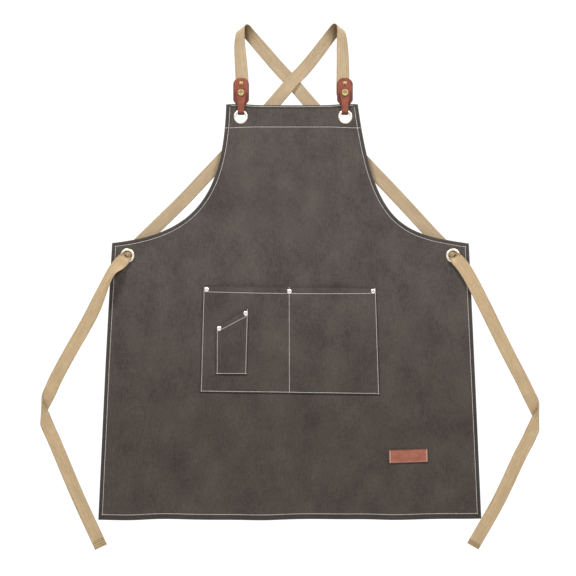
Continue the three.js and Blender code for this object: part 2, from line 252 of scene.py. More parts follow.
@dataclass
class Band:
    """A flat strap or strip swept along stations, with rounded edges.

    Attributes:
        middle: the middle line, one row for each station.
        across: direction across the band at each station.
        width: width at each station.
        thickness: thickness at each station.
        cup: curvature of the cross-section at each station, in 1/m.
        columns: corners across each face.
        start: distance along the strap at the first station, for its weave.
        shade: painted shade on the inner face at each station, 0 to 1.
        square: whether cross-sections are set square to the middle line.
    """

    middle: Points
    across: Points
    width: Points
    thickness: Points
    cup: Points
    columns: int = 9
    start: float = 0.0
    shade: Points | None = None
    square: bool = True

    def frames(self) -> tuple[Points, Points, Points]:
        """Directions along, across and out of the band at each station."""
        along = unit(np.gradient(self.middle, axis=0))
        across = self.across
        if self.square:
            across = across - along * np.sum(across * along, axis=1, keepdims=True)
        across = unit(across)
        return along, across, unit(np.cross(along, across))

    def ring(self) -> tuple[Points, Points]:
        """One cross-section as shares: (-1 to 1 across, -1 to 1 through)."""
        flat = np.linspace(-1, 1, self.columns)
        turn = np.radians([-54, -18, 18, 54])
        face = np.ones(self.columns)
        share = np.concatenate([flat, 1 + np.cos(turn[::-1]), flat[::-1], -1 - np.cos(turn)])
        through = np.concatenate([face, np.sin(turn[::-1]), -face, np.sin(turn)])
        return share, through

    def surface(self, share: Points, through: Points) -> Points:
        """Points on the band.

        Args:
            share: place across, -1 to 1 on the flat, beyond that on the rounded edge.
            through: place through the thickness, -1 to 1.

        Returns:
            An array of stations by places by 3.
        """
        _, across, out = self.frames()
        half = self.thickness[:, None] / 2
        flat = self.width[:, None] / 2 - half
        inner = np.clip(share, -1, 1)[None]
        beyond = (share - np.clip(share, -1, 1))[None]
        s = inner * flat + beyond * half
        h = through[None] * half
        k = np.where(np.abs(self.cup) < 1e-3, 1e-3, self.cup)[:, None]
        sway = (1 - np.cos(k * flat)) / k * 0.5
        x = np.sin(k * s) / k - h * np.sin(k * s)
        y = (1 - np.cos(k * s)) / k - sway + h * np.cos(k * s)
        return self.middle[:, None] + across[:, None] * x[..., None] + out[:, None] * y[..., None]

    def cloth(self) -> Cloth:
        """The closed mesh, with u across and v along in metres, a selvedge tone and a painted shade tone on the inner
        face.
        """
        share, through = self.ring()
        grid = self.surface(share, through)
        stations, around = grid.shape[:2]
        faces = lattice(stations, around, closed=True)
        faces.append(tuple(range(around)))
        faces.append(tuple(range((stations - 1) * around, stations * around))[::-1])
        steps = np.linalg.norm(np.diff(self.middle, axis=0), axis=1)
        v = self.start + np.concatenate([[0.0], np.cumsum(steps)])
        u = np.clip(share, -1, 1)[None] * self.width[:, None] / 2
        uv = np.stack([u, np.repeat(v[:, None], around, 1)], axis=-1).reshape(-1, 2)
        inset = self.width[:, None] / 2 - np.abs(u)
        edge = 1 - ease(inset, 0.0, 1.6 * MM)
        # Painted shade, laid on the inner face only.
        painted_shade_and_wear = np.zeros(stations) if self.shade is None else self.shade
        painted_shade_and_wear = painted_shade_and_wear[:, None] * (through < 0)[None]
        return Cloth(grid.reshape(-1, 3), faces, uv, {"edge": edge.ravel(), "shade": painted_shade_and_wear.ravel()})


# ---- finishes ------------------------------------------------------------------------------------
class Shader:
    """A small helper that lays out one procedural material."""

    def __init__(self, name: str) -> None:
        """Starts a material with an empty Principled surface."""
        self.material = bpy.data.materials.new(name)
        self.material.use_nodes = True
        self.tree = self.material.node_tree
        self.surface = self.tree.nodes["Principled BSDF"]

    def node(self, kind: str, **settings: object) -> bpy.types.Node:
        """Adds a node and sets its properties."""
        made = self.tree.nodes.new(kind)
        for word, value in settings.items():
            setattr(made, word, value)
        return made

    def wire(self, source: object, target: object) -> None:
        """Feeds a socket from a socket or from a plain number."""
        if isinstance(source, bpy.types.NodeSocket):
            self.tree.links.new(source, target)
        else:
            target.default_value = source

    def math(self, operation: str, a: object, b: object = 0.0, c: object = 0.0) -> bpy.types.NodeSocket:
        """The result of one mathematical operation on sockets or numbers."""
        made = self.node("ShaderNodeMath", operation=operation)
        for value, socket in zip((a, b, c), made.inputs):
            self.wire(value, socket)
        return made.outputs[0]

    def place(self) -> bpy.types.NodeSocket:
        """The piece's own coordinates, in metres."""
        return self.node("ShaderNodeTexCoord").outputs["Object"]

    def cloth_place(self) -> bpy.types.NodeSocket:
        """The piece's own coordinates along its surface, in metres."""
        return self.node("ShaderNodeTexCoord").outputs["UV"]

    def tone(self, word: str) -> bpy.types.NodeSocket:
        """A number stored on the mesh."""
        return self.node("ShaderNodeAttribute", attribute_name=word).outputs["Fac"]

    def noise(
        self, place: object, scale: float, stretch: Triple = (1, 1, 1), detail: float = 3.0,
        rough: float = 0.55,
    ) -> bpy.types.NodeSocket:
        """Noise of a scale in humps for each metre.

        Args:
            place: coordinates to read.
            scale: humps for each metre.
            stretch: factors on x, y and z.
            detail: octaves.
            rough: strength of the finer octaves.

        Returns:
            The noise factor.
        """
        mapped = self.node("ShaderNodeMapping")
        mapped.inputs["Scale"].default_value = stretch
        self.wire(place, mapped.inputs["Vector"])
        made = self.node("ShaderNodeTexNoise")
        made.inputs["Scale"].default_value = scale
        made.inputs["Detail"].default_value = detail
        made.inputs["Roughness"].default_value = rough
        self.wire(mapped.outputs[0], made.inputs["Vector"])
        return made.outputs["Fac"]

    def ramp(self, factor: object, stops: Sequence[tuple[float, Colour]]) -> bpy.types.NodeSocket:
        """A colour from a factor, through stops of (place, colour)."""
        made = self.node("ShaderNodeValToRGB")
        band = made.color_ramp
        while len(band.elements) < len(stops):
            band.elements.new(0.5)
        for element, (at, colour) in zip(band.elements, stops):
            element.position = at
            element.color = (*colour, 1.0)
        self.wire(factor, made.inputs[0])
        return made.outputs[0]

    def blend(self, factor: object, a: object, b: object, mode: str = "MIX") -> bpy.types.NodeSocket:
        """Mixes two colours by a factor."""
        made = self.node("ShaderNodeMix", data_type="RGBA", blend_type=mode)
        self.wire(factor, made.inputs["Factor"])
        for value, socket in ((a, made.inputs[6]), (b, made.inputs[7])):
            self.wire((*value, 1.0) if isinstance(value, tuple) else value, socket)
        return made.outputs[2]

    def relief(self, height: object, depth: float, strength: float = 1.0) -> None:
        """Bumps the surface by a height from 0 to 1 over a depth in metres."""
        made = self.node("ShaderNodeBump")
        made.inputs["Strength"].default_value = strength
        made.inputs["Distance"].default_value = depth
        self.wire(height, made.inputs["Height"])
        self.tree.links.new(made.outputs[0], self.surface.inputs["Normal"])

    def finish(self, colour: object, roughness: object, **uniform: object) -> bpy.types.Material:
        """Connects colour and roughness, and sets uniform sockets by name."""
        self.wire(colour, self.surface.inputs["Base Color"])
        self.wire(roughness, self.surface.inputs["Roughness"])
        for word, value in uniform.items():
            self.surface.inputs[word.replace("_", " ")].default_value = value
        return self.material




@dataclass(frozen=True)
class CanvasFinish:
    """Washed grey-brown duck canvas with a fine weave, uneven dye, rubbed seams, a darker hem band, painted shadow
    along the pocket edges and painted shade towards the hem.
    """

    name: str = "washed_canvas"
    dark: Colour = (0.034, 0.0275, 0.0235)
    light: Colour = (0.114, 0.094, 0.081)
    pitch: float = 0.9 * MM
    # Painted shade: below this height the colour darkens towards the hem, standing in for light that falls off.
    fade_top: float = -0.50
    fade_depth: float = 0.28
    low_tint: Colour = (0.83, 0.80, 0.76)

    def build(self) -> bpy.types.Material:
        """The material."""
        s = Shader(self.name)
        place = s.place()
        apart = s.node("ShaderNodeSeparateXYZ")
        s.wire(place, apart.inputs[0])
        x, z = apart.outputs["X"], apart.outputs["Z"]
        turns = 2 * math.pi / self.pitch
        warp = s.math("SINE", s.math("MULTIPLY", x, turns))
        weft = s.math("SINE", s.math("MULTIPLY", z, turns * 0.9))
        weave = s.math("MULTIPLY", s.math("MULTIPLY", warp, weft), 0.5)
        slub = s.noise(place, 620.0, (1.0, 1.0, 0.16), 2.0)
        cross = s.noise(place, 520.0, (0.2, 1.0, 1.0), 2.0)
        cloud = s.noise(place, 17.0, (1.0, 1.0, 0.8), 4.0, 0.6)
        fleck = s.noise(place, 800.0, (1.0, 1.0, 1.0), 1.0)
        yarn = s.math("ADD", s.math("MULTIPLY", slub, 0.5), s.math("MULTIPLY", cross, 0.3))
        mottle = s.math("ADD", yarn, s.math("MULTIPLY", cloud, 0.75))
        fine = s.math("ADD", mottle, s.math("MULTIPLY", fleck, 0.4))
        value = s.math("ADD", s.math("MULTIPLY", weave, 0.10), fine)
        spread = s.math("SUBTRACT", value, 0.475)
        base = s.ramp(spread, [(0.25, self.dark), (0.75, self.light)])
        warm = s.noise(place, 9.0, (1.0, 1.0, 0.6), 2.0)
        tinted = s.blend(s.math("MULTIPLY", warm, 0.35), base, (0.095, 0.078, 0.070), "MIX")
        # Painted shadow along the pocket edges from this tone; on the panel the same tone darkens the hem band.
        seam = s.tone("seam")
        seam_and_edge_shaded = s.blend(s.math("MULTIPLY", seam, 0.42), tinted, (0.030, 0.026, 0.023))
        rubbed = s.math("MULTIPLY", s.tone("wear"), s.math("MULTIPLY", fleck, 0.8))
        painted_shade_and_wear = s.blend(rubbed, seam_and_edge_shaded, (0.17, 0.15, 0.13))
        # Painted shade, darker towards the hem.
        below = s.math("DIVIDE", s.math("SUBTRACT", self.fade_top, z), self.fade_depth)
        low = s.math("MINIMUM", s.math("MAXIMUM", below, 0.0), 1.0)
        colour = s.blend(low, painted_shade_and_wear, self.low_tint, "MULTIPLY")
        s.relief(s.math("ADD", s.math("MULTIPLY", weave, 0.6), yarn), 0.16 * MM, 0.8)
        rough = s.math("ADD", 0.80, s.math("MULTIPLY", cloud, 0.14))
        return s.finish(colour, rough, Sheen_Weight=0.12, Sheen_Roughness=0.5, Specular_IOR_Level=0.25)


@dataclass(frozen=True)
class WebbingFinish:
    """Heavy cotton webbing: lengthways ribs, a fine herringbone, firm selvedges and painted shade from the mesh's
    shade tone.
    """

    name: str = "cotton_webbing"
    dark: Colour = (0.325, 0.238, 0.141)
    light: Colour = (0.590, 0.448, 0.286)
    rib: float = 2.1 * MM

    def build(self) -> bpy.types.Material:
        """The material."""
        s = Shader(self.name)
        uv = s.cloth_place()
        apart = s.node("ShaderNodeSeparateXYZ")
        s.wire(uv, apart.inputs[0])
        u, v = apart.outputs["X"], apart.outputs["Y"]
        rib = s.math("SINE", s.math("MULTIPLY", u, 2 * math.pi / self.rib))
        slant = s.math("ABSOLUTE", s.math("SINE", s.math("MULTIPLY", u, math.pi / self.rib)))
        pick = s.math("ADD", s.math("MULTIPLY", v, 2 * math.pi / (1.25 * MM)), s.math("MULTIPLY", slant, 2.2))
        weft = s.math("SINE", pick)
        yarn = s.noise(uv, 900.0, (1.0, 0.12, 1.0), 2.0)
        streak = s.noise(uv, 430.0, (1.0, 0.02, 1.0), 2.0, 0.6)
        cloud = s.noise(uv, 70.0, (1.0, 0.45, 1.0), 2.0)
        ribbed = s.math("ADD", s.math("MULTIPLY", rib, 0.15), s.math("MULTIPLY", weft, 0.06))
        fibre = s.math("ADD", s.math("MULTIPLY", yarn, 0.45), s.math("MULTIPLY", streak, 0.65))
        mottle = s.math("SUBTRACT", s.math("MULTIPLY", cloud, 0.25), 0.175)
        value = s.math("ADD", ribbed, s.math("ADD", fibre, mottle))
        base = s.ramp(value, [(0.22, self.dark), (0.78, self.light)])
        # Painted shade: the shade tone darkens the webbing towards a deep brown.
        painted_shade_and_wear = s.blend(s.math("MULTIPLY", s.tone("shade"), 0.9), base, (0.105, 0.060, 0.022))
        edged = s.blend(s.math("MULTIPLY", s.tone("edge"), 0.30), painted_shade_and_wear, (0.26, 0.19, 0.11))
        between = s.math("ADD", s.math("MULTIPLY", weft, 0.35), yarn)
        height = s.math("ADD", s.math("MULTIPLY", rib, 0.5), between)
        s.relief(height, 0.18 * MM, 0.8)
        return s.finish(edged, 0.88, Sheen_Weight=0.15, Sheen_Roughness=0.5, Specular_IOR_Level=0.2)


@dataclass(frozen=True)
class LeatherFinish:
    """Vegetable-tanned leather: pores, soft cloudy dye, burnished dark edges and a dark rim, which on the label is
    partly painted shadow.
    """

    name: str
    dark: Colour
    light: Colour
    edge: Colour
    streaks: float = 0.0
    roughness: float = 0.5
    rim: Colour = (0.06, 0.02, 0.012)

    def build(self) -> bpy.types.Material:
        """The material."""
        s = Shader(self.name)
        place = s.place()
        cloud = s.noise(place, 75.0, (1.0, 1.0, 1.0), 4.0, 0.6)
        drag = s.noise(place, 420.0, (0.08, 1.0, 1.0), 2.0)
        pores = s.node("ShaderNodeTexVoronoi", feature="DISTANCE_TO_EDGE")
        pores.inputs["Scale"].default_value = 1300.0
        s.wire(place, pores.inputs["Vector"])
        grain = s.math("MINIMUM", s.math("MULTIPLY", pores.outputs["Distance"], 3.0), 1.0)
        value = s.math("ADD", cloud, s.math("MULTIPLY", s.math("SUBTRACT", drag, 0.5), self.streaks))
        base = s.ramp(value, [(0.30, self.dark), (0.70, self.light)])
        pored = s.blend(s.math("MULTIPLY", s.math("SUBTRACT", 1.0, grain), 0.35), base, self.dark)
        edged = s.blend(s.math("MULTIPLY", s.tone("edge"), 0.85), pored, self.edge)
        # The rim tone: the label's dark edge, partly painted shadow along its outline.
        colour = s.blend(s.math("MULTIPLY", s.tone("rim"), 0.85), edged, self.rim)
        s.relief(s.math("ADD", grain, s.math("MULTIPLY", cloud, 0.8)), 0.10 * MM, 0.6)
        rough = s.math("ADD", self.roughness - 0.08, s.math("MULTIPLY", cloud, 0.16))
        return s.finish(colour, rough, Specular_IOR_Level=0.4, Coat_Weight=0.06, Coat_Roughness=0.35)


@dataclass(frozen=True)
class MetalFinish:
    """Plated metal with a little tarnish in the hollows, painted shade round the outer rim and fine polishing marks.
    """

    name: str
    bright: Colour
    dull: Colour
    roughness: float

    def build(self) -> bpy.types.Material:
        """The material."""
        s = Shader(self.name)
        place = s.place()
        stain = s.noise(place, 160.0, (1.0, 1.0, 1.0), 4.0, 0.6)
        marks = s.noise(place, 2600.0, (1.0, 1.0, 0.15), 2.0)
        # Tarnish in the hollows and painted shade round each fitting's outer rim.
        tarnish_and_rim_shade_share = s.math("MULTIPLY", s.tone("hollow"), 0.85)
        colour = s.blend(tarnish_and_rim_shade_share, s.ramp(stain, [(0.12, self.dull), (0.52, self.bright)]), self.dull)
        rough = s.math("ADD", self.roughness, s.math("MULTIPLY", stain, 0.14))
        s.relief(marks, 0.02 * MM, 0.4)
        return s.finish(colour, rough, Metallic=1.0)


@dataclass(frozen=True)
class ThreadFinish:
    """Off-white polyester sewing thread."""

    name: str = "sewing_thread"
    dark: Colour = (0.40, 0.37, 0.34)
    light: Colour = (0.70, 0.66, 0.61)

    def build(self) -> bpy.types.Material:
        """The material."""
        s = Shader(self.name)
        twist = s.noise(s.place(), 1800.0, (1.0, 1.0, 1.0), 2.0)
        s.relief(twist, 0.08 * MM, 0.7)
        return s.finish(s.ramp(twist, [(0.3, self.dark), (0.65, self.light)]), 0.7, Sheen_Weight=0.1)


class Finishes:
    """All materials of the apron, built once."""

    def __init__(self) -> None:
        """Builds each finish."""
        self.canvas = CanvasFinish().build()
        self.strap = WebbingFinish().build()
        # Painted light: a brighter copy of the strap webbing for the ties, which are the same webbing.
        self.tie = WebbingFinish(
            name="cotton_webbing_tie", dark=(0.375, 0.268, 0.15), light=(0.68, 0.50, 0.298)).build()
        self.tab = LeatherFinish(
            "tab_leather", (0.185, 0.045, 0.023), (0.37, 0.097, 0.053), (0.085, 0.020, 0.012)).build()
        self.label = LeatherFinish(
            "label_leather", (0.26, 0.078, 0.047), (0.42, 0.15, 0.095), (0.55, 0.31, 0.235), 0.8, 0.6).build()
        self.eyelet = MetalFinish("eyelet_brass", (0.95, 0.88, 0.76), (0.50, 0.41, 0.26), 0.34).build()
        self.snap = MetalFinish("snap_brass", (0.39, 0.30, 0.15), (0.20, 0.14, 0.05), 0.46).build()
        self.rivet = MetalFinish("rivet_nickel", (0.90, 0.87, 0.80), (0.45, 0.41, 0.34), 0.18).build()
        self.thread = ThreadFinish().build()
        self.tie_thread = ThreadFinish("tan_thread", (0.15, 0.105, 0.045), (0.34, 0.25, 0.12)).build()


# ---- geometry node trees -------------------------------------------------------------------------
class Tree:
    """A geometry node tree with named inputs, applied to a mesh and then taken off it."""

    def __init__(self, name: str) -> None:
        """Starts a tree with a geometry input and output."""
        self.group = bpy.data.node_groups.new(name, "GeometryNodeTree")
        face = self.group.interface
        face.new_socket(name="Geometry", in_out="INPUT", socket_type="NodeSocketGeometry")
        face.new_socket(name="Geometry", in_out="OUTPUT", socket_type="NodeSocketGeometry")
        self.entry = self.group.nodes.new("NodeGroupInput")
        self.leave = self.group.nodes.new("NodeGroupOutput")

    def input(self, name: str, kind: str) -> None:
        """Adds a named input of a socket type."""
        self.group.interface.new_socket(name=name, in_out="INPUT", socket_type=kind)

    def node(self, kind: str, **settings: object) -> bpy.types.Node:
        """Adds a node and sets its properties."""
        made = self.group.nodes.new(kind)
        for word, value in settings.items():
            setattr(made, word, value)
        return made

    def wire(self, source: bpy.types.NodeSocket, target: bpy.types.NodeSocket) -> None:
        """Joins two sockets."""
        self.group.links.new(source, target)

    def close(self, geometry: bpy.types.NodeSocket) -> None:
        """Ends the tree in Realize Instances, smooth shading and Set Material."""
        real = self.node("GeometryNodeRealizeInstances")
        smooth = self.node("GeometryNodeSetShadeSmooth")
        dressed = self.node("GeometryNodeSetMaterial")
        self.wire(geometry, real.inputs[0])
        self.wire(real.outputs[0], smooth.inputs[0])
        self.wire(smooth.outputs[0], dressed.inputs[0])
        self.wire(self.entry.outputs["Finish"], dressed.inputs["Material"])
        self.wire(dressed.outputs[0], self.leave.inputs[0])

    def apply(self, piece: bpy.types.Object, **values: object) -> bpy.types.Object:
        """Runs the tree on a piece and keeps the result as its plain mesh.

        Args:
            piece: the object that holds the points or paths.
            values: the tree's inputs by name.

        Returns:
            The same object with its finished mesh.
        """
        modifier = piece.modifiers.new("build", "NODES")
        modifier.node_group = self.group
        for item in self.group.interface.items_tree:
            if item.in_out == "INPUT" and item.name in values:
                modifier[item.identifier] = values[item.name]
        bpy.context.view_layer.update()
        graph = bpy.context.evaluated_depsgraph_get()
        made = bpy.data.meshes.new_from_object(piece.evaluated_get(graph))
        piece.modifiers.clear()
        piece.data = made
        made.name = piece.name
        return piece


def stitch_tree() -> Tree:
    """Lays thread stitches at even steps along every path of the mesh."""
    tree = Tree("stitches")
    tree.input("Pitch", "NodeSocketFloat")
    tree.input("Length", "NodeSocketFloat")
    tree.input("Thread", "NodeSocketFloat")
    tree.input("Finish", "NodeSocketMaterial")
    curve = tree.node("GeometryNodeMeshToCurve")
    steps = tree.node("GeometryNodeCurveToPoints", mode="LENGTH")
    turned = tree.node("FunctionNodeAlignRotationToVector", axis="Z")
    spread = tree.node("FunctionNodeRandomValue", data_type="FLOAT_VECTOR")
    spread.inputs["Min"].default_value = (-0.05, -0.05, -0.4)
    spread.inputs["Max"].default_value = (0.05, 0.05, 0.4)
    spread.inputs["Seed"].default_value = 11
    tilt = tree.node("FunctionNodeRotateRotation", rotation_space="LOCAL")
    bead = tree.node("GeometryNodeMeshUVSphere")
    bead.inputs["Segments"].default_value = 6
    bead.inputs["Rings"].default_value = 5
    bead.inputs["Radius"].default_value = 0.5
    size = tree.node("ShaderNodeCombineXYZ")
    placed = tree.node("GeometryNodeInstanceOnPoints")
    tree.wire(tree.entry.outputs["Geometry"], curve.inputs[0])
    tree.wire(curve.outputs[0], steps.inputs[0])
    tree.wire(tree.entry.outputs["Pitch"], steps.inputs["Length"])
    tree.wire(steps.outputs["Tangent"], turned.inputs["Vector"])
    tree.wire(turned.outputs[0], tilt.inputs[0])
    tree.wire(spread.outputs[0], tilt.inputs[1])
    tree.wire(tree.entry.outputs["Thread"], size.inputs[0])
    tree.wire(tree.entry.outputs["Thread"], size.inputs[1])
    tree.wire(tree.entry.outputs["Length"], size.inputs[2])
    tree.wire(steps.outputs["Points"], placed.inputs["Points"])
    tree.wire(bead.outputs["Mesh"], placed.inputs["Instance"])
    tree.wire(tilt.outputs[0], placed.inputs["Rotation"])
    tree.wire(size.outputs[0], placed.inputs["Scale"])
    tree.close(placed.outputs[0])
    return tree


def fitting_tree() -> Tree:
    """Sets one copy of a turned fitting on every point of the mesh, each spun a little differently."""
    tree = Tree("fittings")
    tree.input("Fitting", "NodeSocketObject")
    tree.input("Spin", "NodeSocketFloat")
    tree.input("Finish", "NodeSocketMaterial")
    points = tree.node("GeometryNodeMeshToPoints")
    fitting = tree.node("GeometryNodeObjectInfo", transform_space="ORIGINAL")
    turn = tree.node("FunctionNodeRandomValue", data_type="FLOAT")
    turn.inputs[2].default_value = 0.0
    turn.inputs["Seed"].default_value = 5
    about = tree.node("ShaderNodeCombineXYZ")
    placed = tree.node("GeometryNodeInstanceOnPoints")
    tree.wire(tree.entry.outputs["Geometry"], points.inputs[0])
    tree.wire(tree.entry.outputs["Fitting"], fitting.inputs["Object"])
    tree.wire(tree.entry.outputs["Spin"], turn.inputs[3])
    tree.wire(turn.outputs[1], about.inputs[1])
    tree.wire(points.outputs[0], placed.inputs["Points"])
    tree.wire(fitting.outputs["Geometry"], placed.inputs["Instance"])
    tree.wire(about.outputs[0], placed.inputs["Rotation"])
    tree.close(placed.outputs[0])
    return tree


def path_object(name: str, paths: Sequence[Points]) -> bpy.types.Object:
    """A mesh of open paths or single points for a tree to work on.

    Args:
        name: the piece's name.
        paths: arrays of points; an array of one row is a lone point.

    Returns:
        The object.
    """
    corners: list[list[float]] = []
    edges = []
    for path in paths:
        first = len(corners)
        corners.extend(np.asarray(path, float).tolist())
        edges.extend((first + i, first + i + 1) for i in range(len(path) - 1))
    mesh = bpy.data.meshes.new(name)
    mesh.from_pydata(corners, edges, [])
    made = bpy.data.objects.new(name, mesh)
    bpy.context.scene.collection.objects.link(made)
    return made


def settle(piece: bpy.types.Object, body: str, replaced: Sequence[str] = ()) -> bpy.types.Object:
    """Puts a finished piece on its body and reports it.

    Args:
        piece: the finished piece.
        body: the body that it rides on.
        replaced: CAD nodes that it stands for.

    Returns:
        The piece.
    """
    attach(piece, body)
    register(piece, replaced)
    return piece


def register(piece: bpy.types.Object, replaced: Sequence[str]) -> None:
    """Hides the CAD nodes that a piece stands for, and reports it."""
    if replaced:
        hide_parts(*replaced)
    LOG.info("%s: %d faces", piece.name, len(piece.data.polygons))


# ---- canvas --------------------------------------------------------------------------------------
@dataclass
class Panel:
    """The canvas panel: bib and skirt in one, folded hems, a deep facing at the top of the bib."""

    bib_top: float = -153 * MM
    hem: float = -961 * MM
    bib_half: float = 128.5 * MM
    thickness: float = 1.0 * MM
    hem_thickness: float = 2.2 * MM
    facing_depth: float = 0.9 * MM
    stitch_inset: float = 7.6 * MM
    top_stitch_inset: float = 3.0 * MM
    facing_line: float = -197.0 * MM
    front: float = -0.6 * MM
    grid: float = 4.6 * MM
    eyelet_hole: float = 10.3 * MM
    corner_reach: float = 48.0 * MM
    sliver: float = 4e-8
    hem_scale: float = 1.4
    bib_eyelets: tuple[tuple[float, float], ...] = ((-100 * MM, -177 * MM), (104 * MM, -177 * MM))
    side_eyelets: tuple[tuple[float, float], ...] = ((-321 * MM, -447.5 * MM), (314 * MM, -447.5 * MM))

    def __post_init__(self) -> None:
        """Draws the outline and the wrinkle fields."""
        self.wrinkles = [Ripple(58 * MM, 3, 1.5), Ripple(27 * MM, 4, 1.2), Ripple(150 * MM, 6, 2.4)]
        self.outline, self.inward, self.spans = self.trace()

    def trace(self) -> tuple[Points, Points, dict[str, tuple[int, int]]]:
        """Walks round the outline, counter-clockwise from the left hem corner.

        Returns:
            The corners, the mitred inward direction at each, and the index range of each side.
        """
        def cubic(a: Points, b: Points, c: Points, d: Points, count: int) -> Points:
            t = np.linspace(0, 1, count, endpoint=False)[:, None]
            return a * (1 - t) ** 3 + 3 * b * t * (1 - t) ** 2 + 3 * c * t**2 * (1 - t) + d * t**3

        def straight(a: Points, b: Points, count: int) -> Points:
            return a + (b - a) * np.linspace(0, 1, count, endpoint=False)[:, None]

        def at(x: float, z: float) -> Points:
            return np.array([x, z]) * MM

        hem, top = self.hem / MM, self.bib_top / MM
        half = self.bib_half / MM
        sides = {
            "hem": straight(at(-378.3, hem - 2.0), at(370, hem - 0.6), 160),
            "right_lower": straight(at(370, hem - 0.6), at(356, -660), 64),
            "right_upper": straight(at(356, -660), at(345, -424), 50),
            "right_armhole": cubic(at(345, -424), at(217, -405), at(161, -394), at(half, top), 88),
            "top": straight(at(half, top), at(-half, top), 56),
            "left_armhole": cubic(at(-half, top), at(-134, -340), at(-196, -406), at(-351, -423), 88),
            "left_upper": straight(at(-351, -423), at(-364, -660), 50),
            "left_lower": straight(at(-364, -660), at(-378.3, hem - 2.0), 64),
        }
        spans, start = {}, 0
        for word, run in sides.items():
            spans[word] = (start, start + len(run))
            start += len(run)
        loop = np.vstack(list(sides.values()))
        self.ease_outline(loop, spans)
        return loop, self.inward_from(loop, spans), spans

    def inward_from(self, loop: Points, spans: dict[str, tuple[int, int]]) -> Points:
        """The mitred inward direction at each corner of the outline.

        Args:
            loop: the outline.
            spans: the index range of each side.

        Returns:
            One direction for each corner. Beside a true corner it leans along the edge, so that inner rows
            shorten evenly and never cross.
        """
        ahead = unit(np.roll(loop, -1, axis=0) - loop)
        behind = np.roll(ahead, 1, axis=0)
        left_a, left_b = (np.stack([-d[:, 1], d[:, 0]], axis=1) for d in (behind, ahead))
        middle = unit(left_a + left_b)
        scale = np.ones(len(loop))
        scale[slice(*spans["hem"])] = self.hem_scale
        inward = middle * (scale / np.sum(middle * left_b, axis=1))[:, None]
        steps = np.linalg.norm(np.roll(loop, -1, axis=0) - loop, axis=1)
        reach, count = self.corner_reach, len(loop)
        for first, _ in spans.values():
            across, level = -np.sum(behind[first] * left_b[first]), np.sum(behind[first] * ahead[first])
            if across < 0.2:
                continue
            came, goes = scale[first - 1], scale[first]
            lean_on, lean_back = (came - goes * level) / across, (goes - came * level) / across
            inward[first] = goes * left_b[first] + lean_on * ahead[first]
            gone, i = 0.0, first
            while gone < reach:
                gone += steps[i]
                i = (i + 1) % count
                inward[i] += ahead[i] * lean_on * max(0.0, 1 - gone / reach)
            gone, i = 0.0, first
            while gone < reach:
                i = (i - 1) % count
                gone += steps[i]
                inward[i] -= behind[i] * lean_back * max(0.0, 1 - gone / reach)
        return inward

    def ease_outline(self, loop: Points, spans: dict[str, tuple[int, int]]) -> None:
        """Lets the hem wander and the top sag between the two tabs, as sewn cloth does."""
        first, last = spans["hem"]
        x = loop[first:last, 0]
        loop[first:last, 1] += (0.7 * np.sin(x * 21.0) + 0.5 * np.sin(x * 47.0 + 1.0) - 0.4) * MM
        first, last = spans["top"]
        x = loop[first:last, 0]
        pulled = bump(x, -100 * MM, 26 * MM) + bump(x, 104 * MM, 26 * MM)
        loop[first:last, 1] += (1.6 * pulled - 1.3 * ease(np.abs(x), 130 * MM, 60 * MM)) * MM

    def edge_distance(self, x: Points, z: Points) -> Points:
        """Distance from each point to the outline."""
        return closest(np.stack([np.ravel(x), np.ravel(z)], axis=1), self.outline).reshape(np.shape(x))

    def calm(self, x: Points, z: Points) -> Points:
        """Where the cloth is held flat: 0 at the eyelets, 1 elsewhere."""
        still = np.ones_like(np.asarray(x, float))
        for ex, ez in (*self.bib_eyelets, *self.side_eyelets):
            still = still * ease(np.hypot(x - ex, z - ez), 15 * MM, 60 * MM)
        return still

    def drape(self, x: Points, z: Points) -> Points:
        """How far the hanging cloth stands behind its flat plane.

        Args:
            x: places across.
            z: heights.

        Returns:
            The offset along y, soft folds that grow towards the hem and small wrinkles.
        """
        x, z = np.asarray(x, float), np.asarray(z, float)
        down = ease(z, -430 * MM, -961 * MM)
        sway = 0.12 * np.sin(z * 7.0)
        folds = (
            1.9 * np.sin(2 * np.pi * (x / 0.262 + 0.17 + sway))
            + 1.2 * np.sin(2 * np.pi * (x / 0.149 - 0.31 - sway * 1.4))
            + 0.5 * np.sin(2 * np.pi * (x / 0.083 + 0.45))
        ) * down * MM
        curl = 5.0 * MM * down * (np.abs(x) / 0.37) ** 3
        held = self.calm(x, z)
        big, small, wide = self.wrinkles
        fine = (0.42 * big(x, z) + 0.15 * small(x, z)) * MM * (0.55 + 0.45 * down)
        broad = wide(x, z) * 1.1 * MM * ease(z, -200 * MM, -420 * MM)
        return (folds + curl + broad) * held + fine * (0.25 + 0.75 * held)

    def face(self, x: Points, z: Points) -> Points:
        """The plain front surface, for what is sewn or riveted on it."""
        return self.front + self.drape(x, z)

    def rows(self) -> tuple[Points, Points]:
        """Insets and depths of the rows that wrap round a hem, from the front face to the back."""
        radius = self.hem_thickness / 2
        turn = np.radians(np.linspace(90, -90, 9))
        inset = radius * (1 - np.cos(turn))
        depth = radius * (1 - np.sin(turn))
        line = self.stitch_inset
        face_inset = MM * np.array(
            [13.5, 11.5, 10.4, 9.4, line / MM + 0.8, line / MM, line / MM - 0.8, 5.4, 3.2, 1.9])
        face_depth = np.array([0, 0, 0, -0.10, -0.05, 0.32, -0.05, -0.16, -0.14, -0.05]) * MM
        back = self.hem_thickness
        plain = self.thickness
        back_depth = np.array([
            plain, plain, plain + 0.3 * MM, back - 0.2 * MM, back, back - 0.3 * MM, back, back, back, back])
        insets = np.concatenate([face_inset, inset, face_inset[::-1]])
        depths = np.concatenate([face_depth, depth, back_depth[::-1]])
        return insets, depths

    def facing(self, z: Points) -> Points:
        """Extra thickness at the back where the top of the bib is faced."""
        return self.facing_depth * ease(z, self.facing_line - 2.4 * MM, self.facing_line - 0.6 * MM)

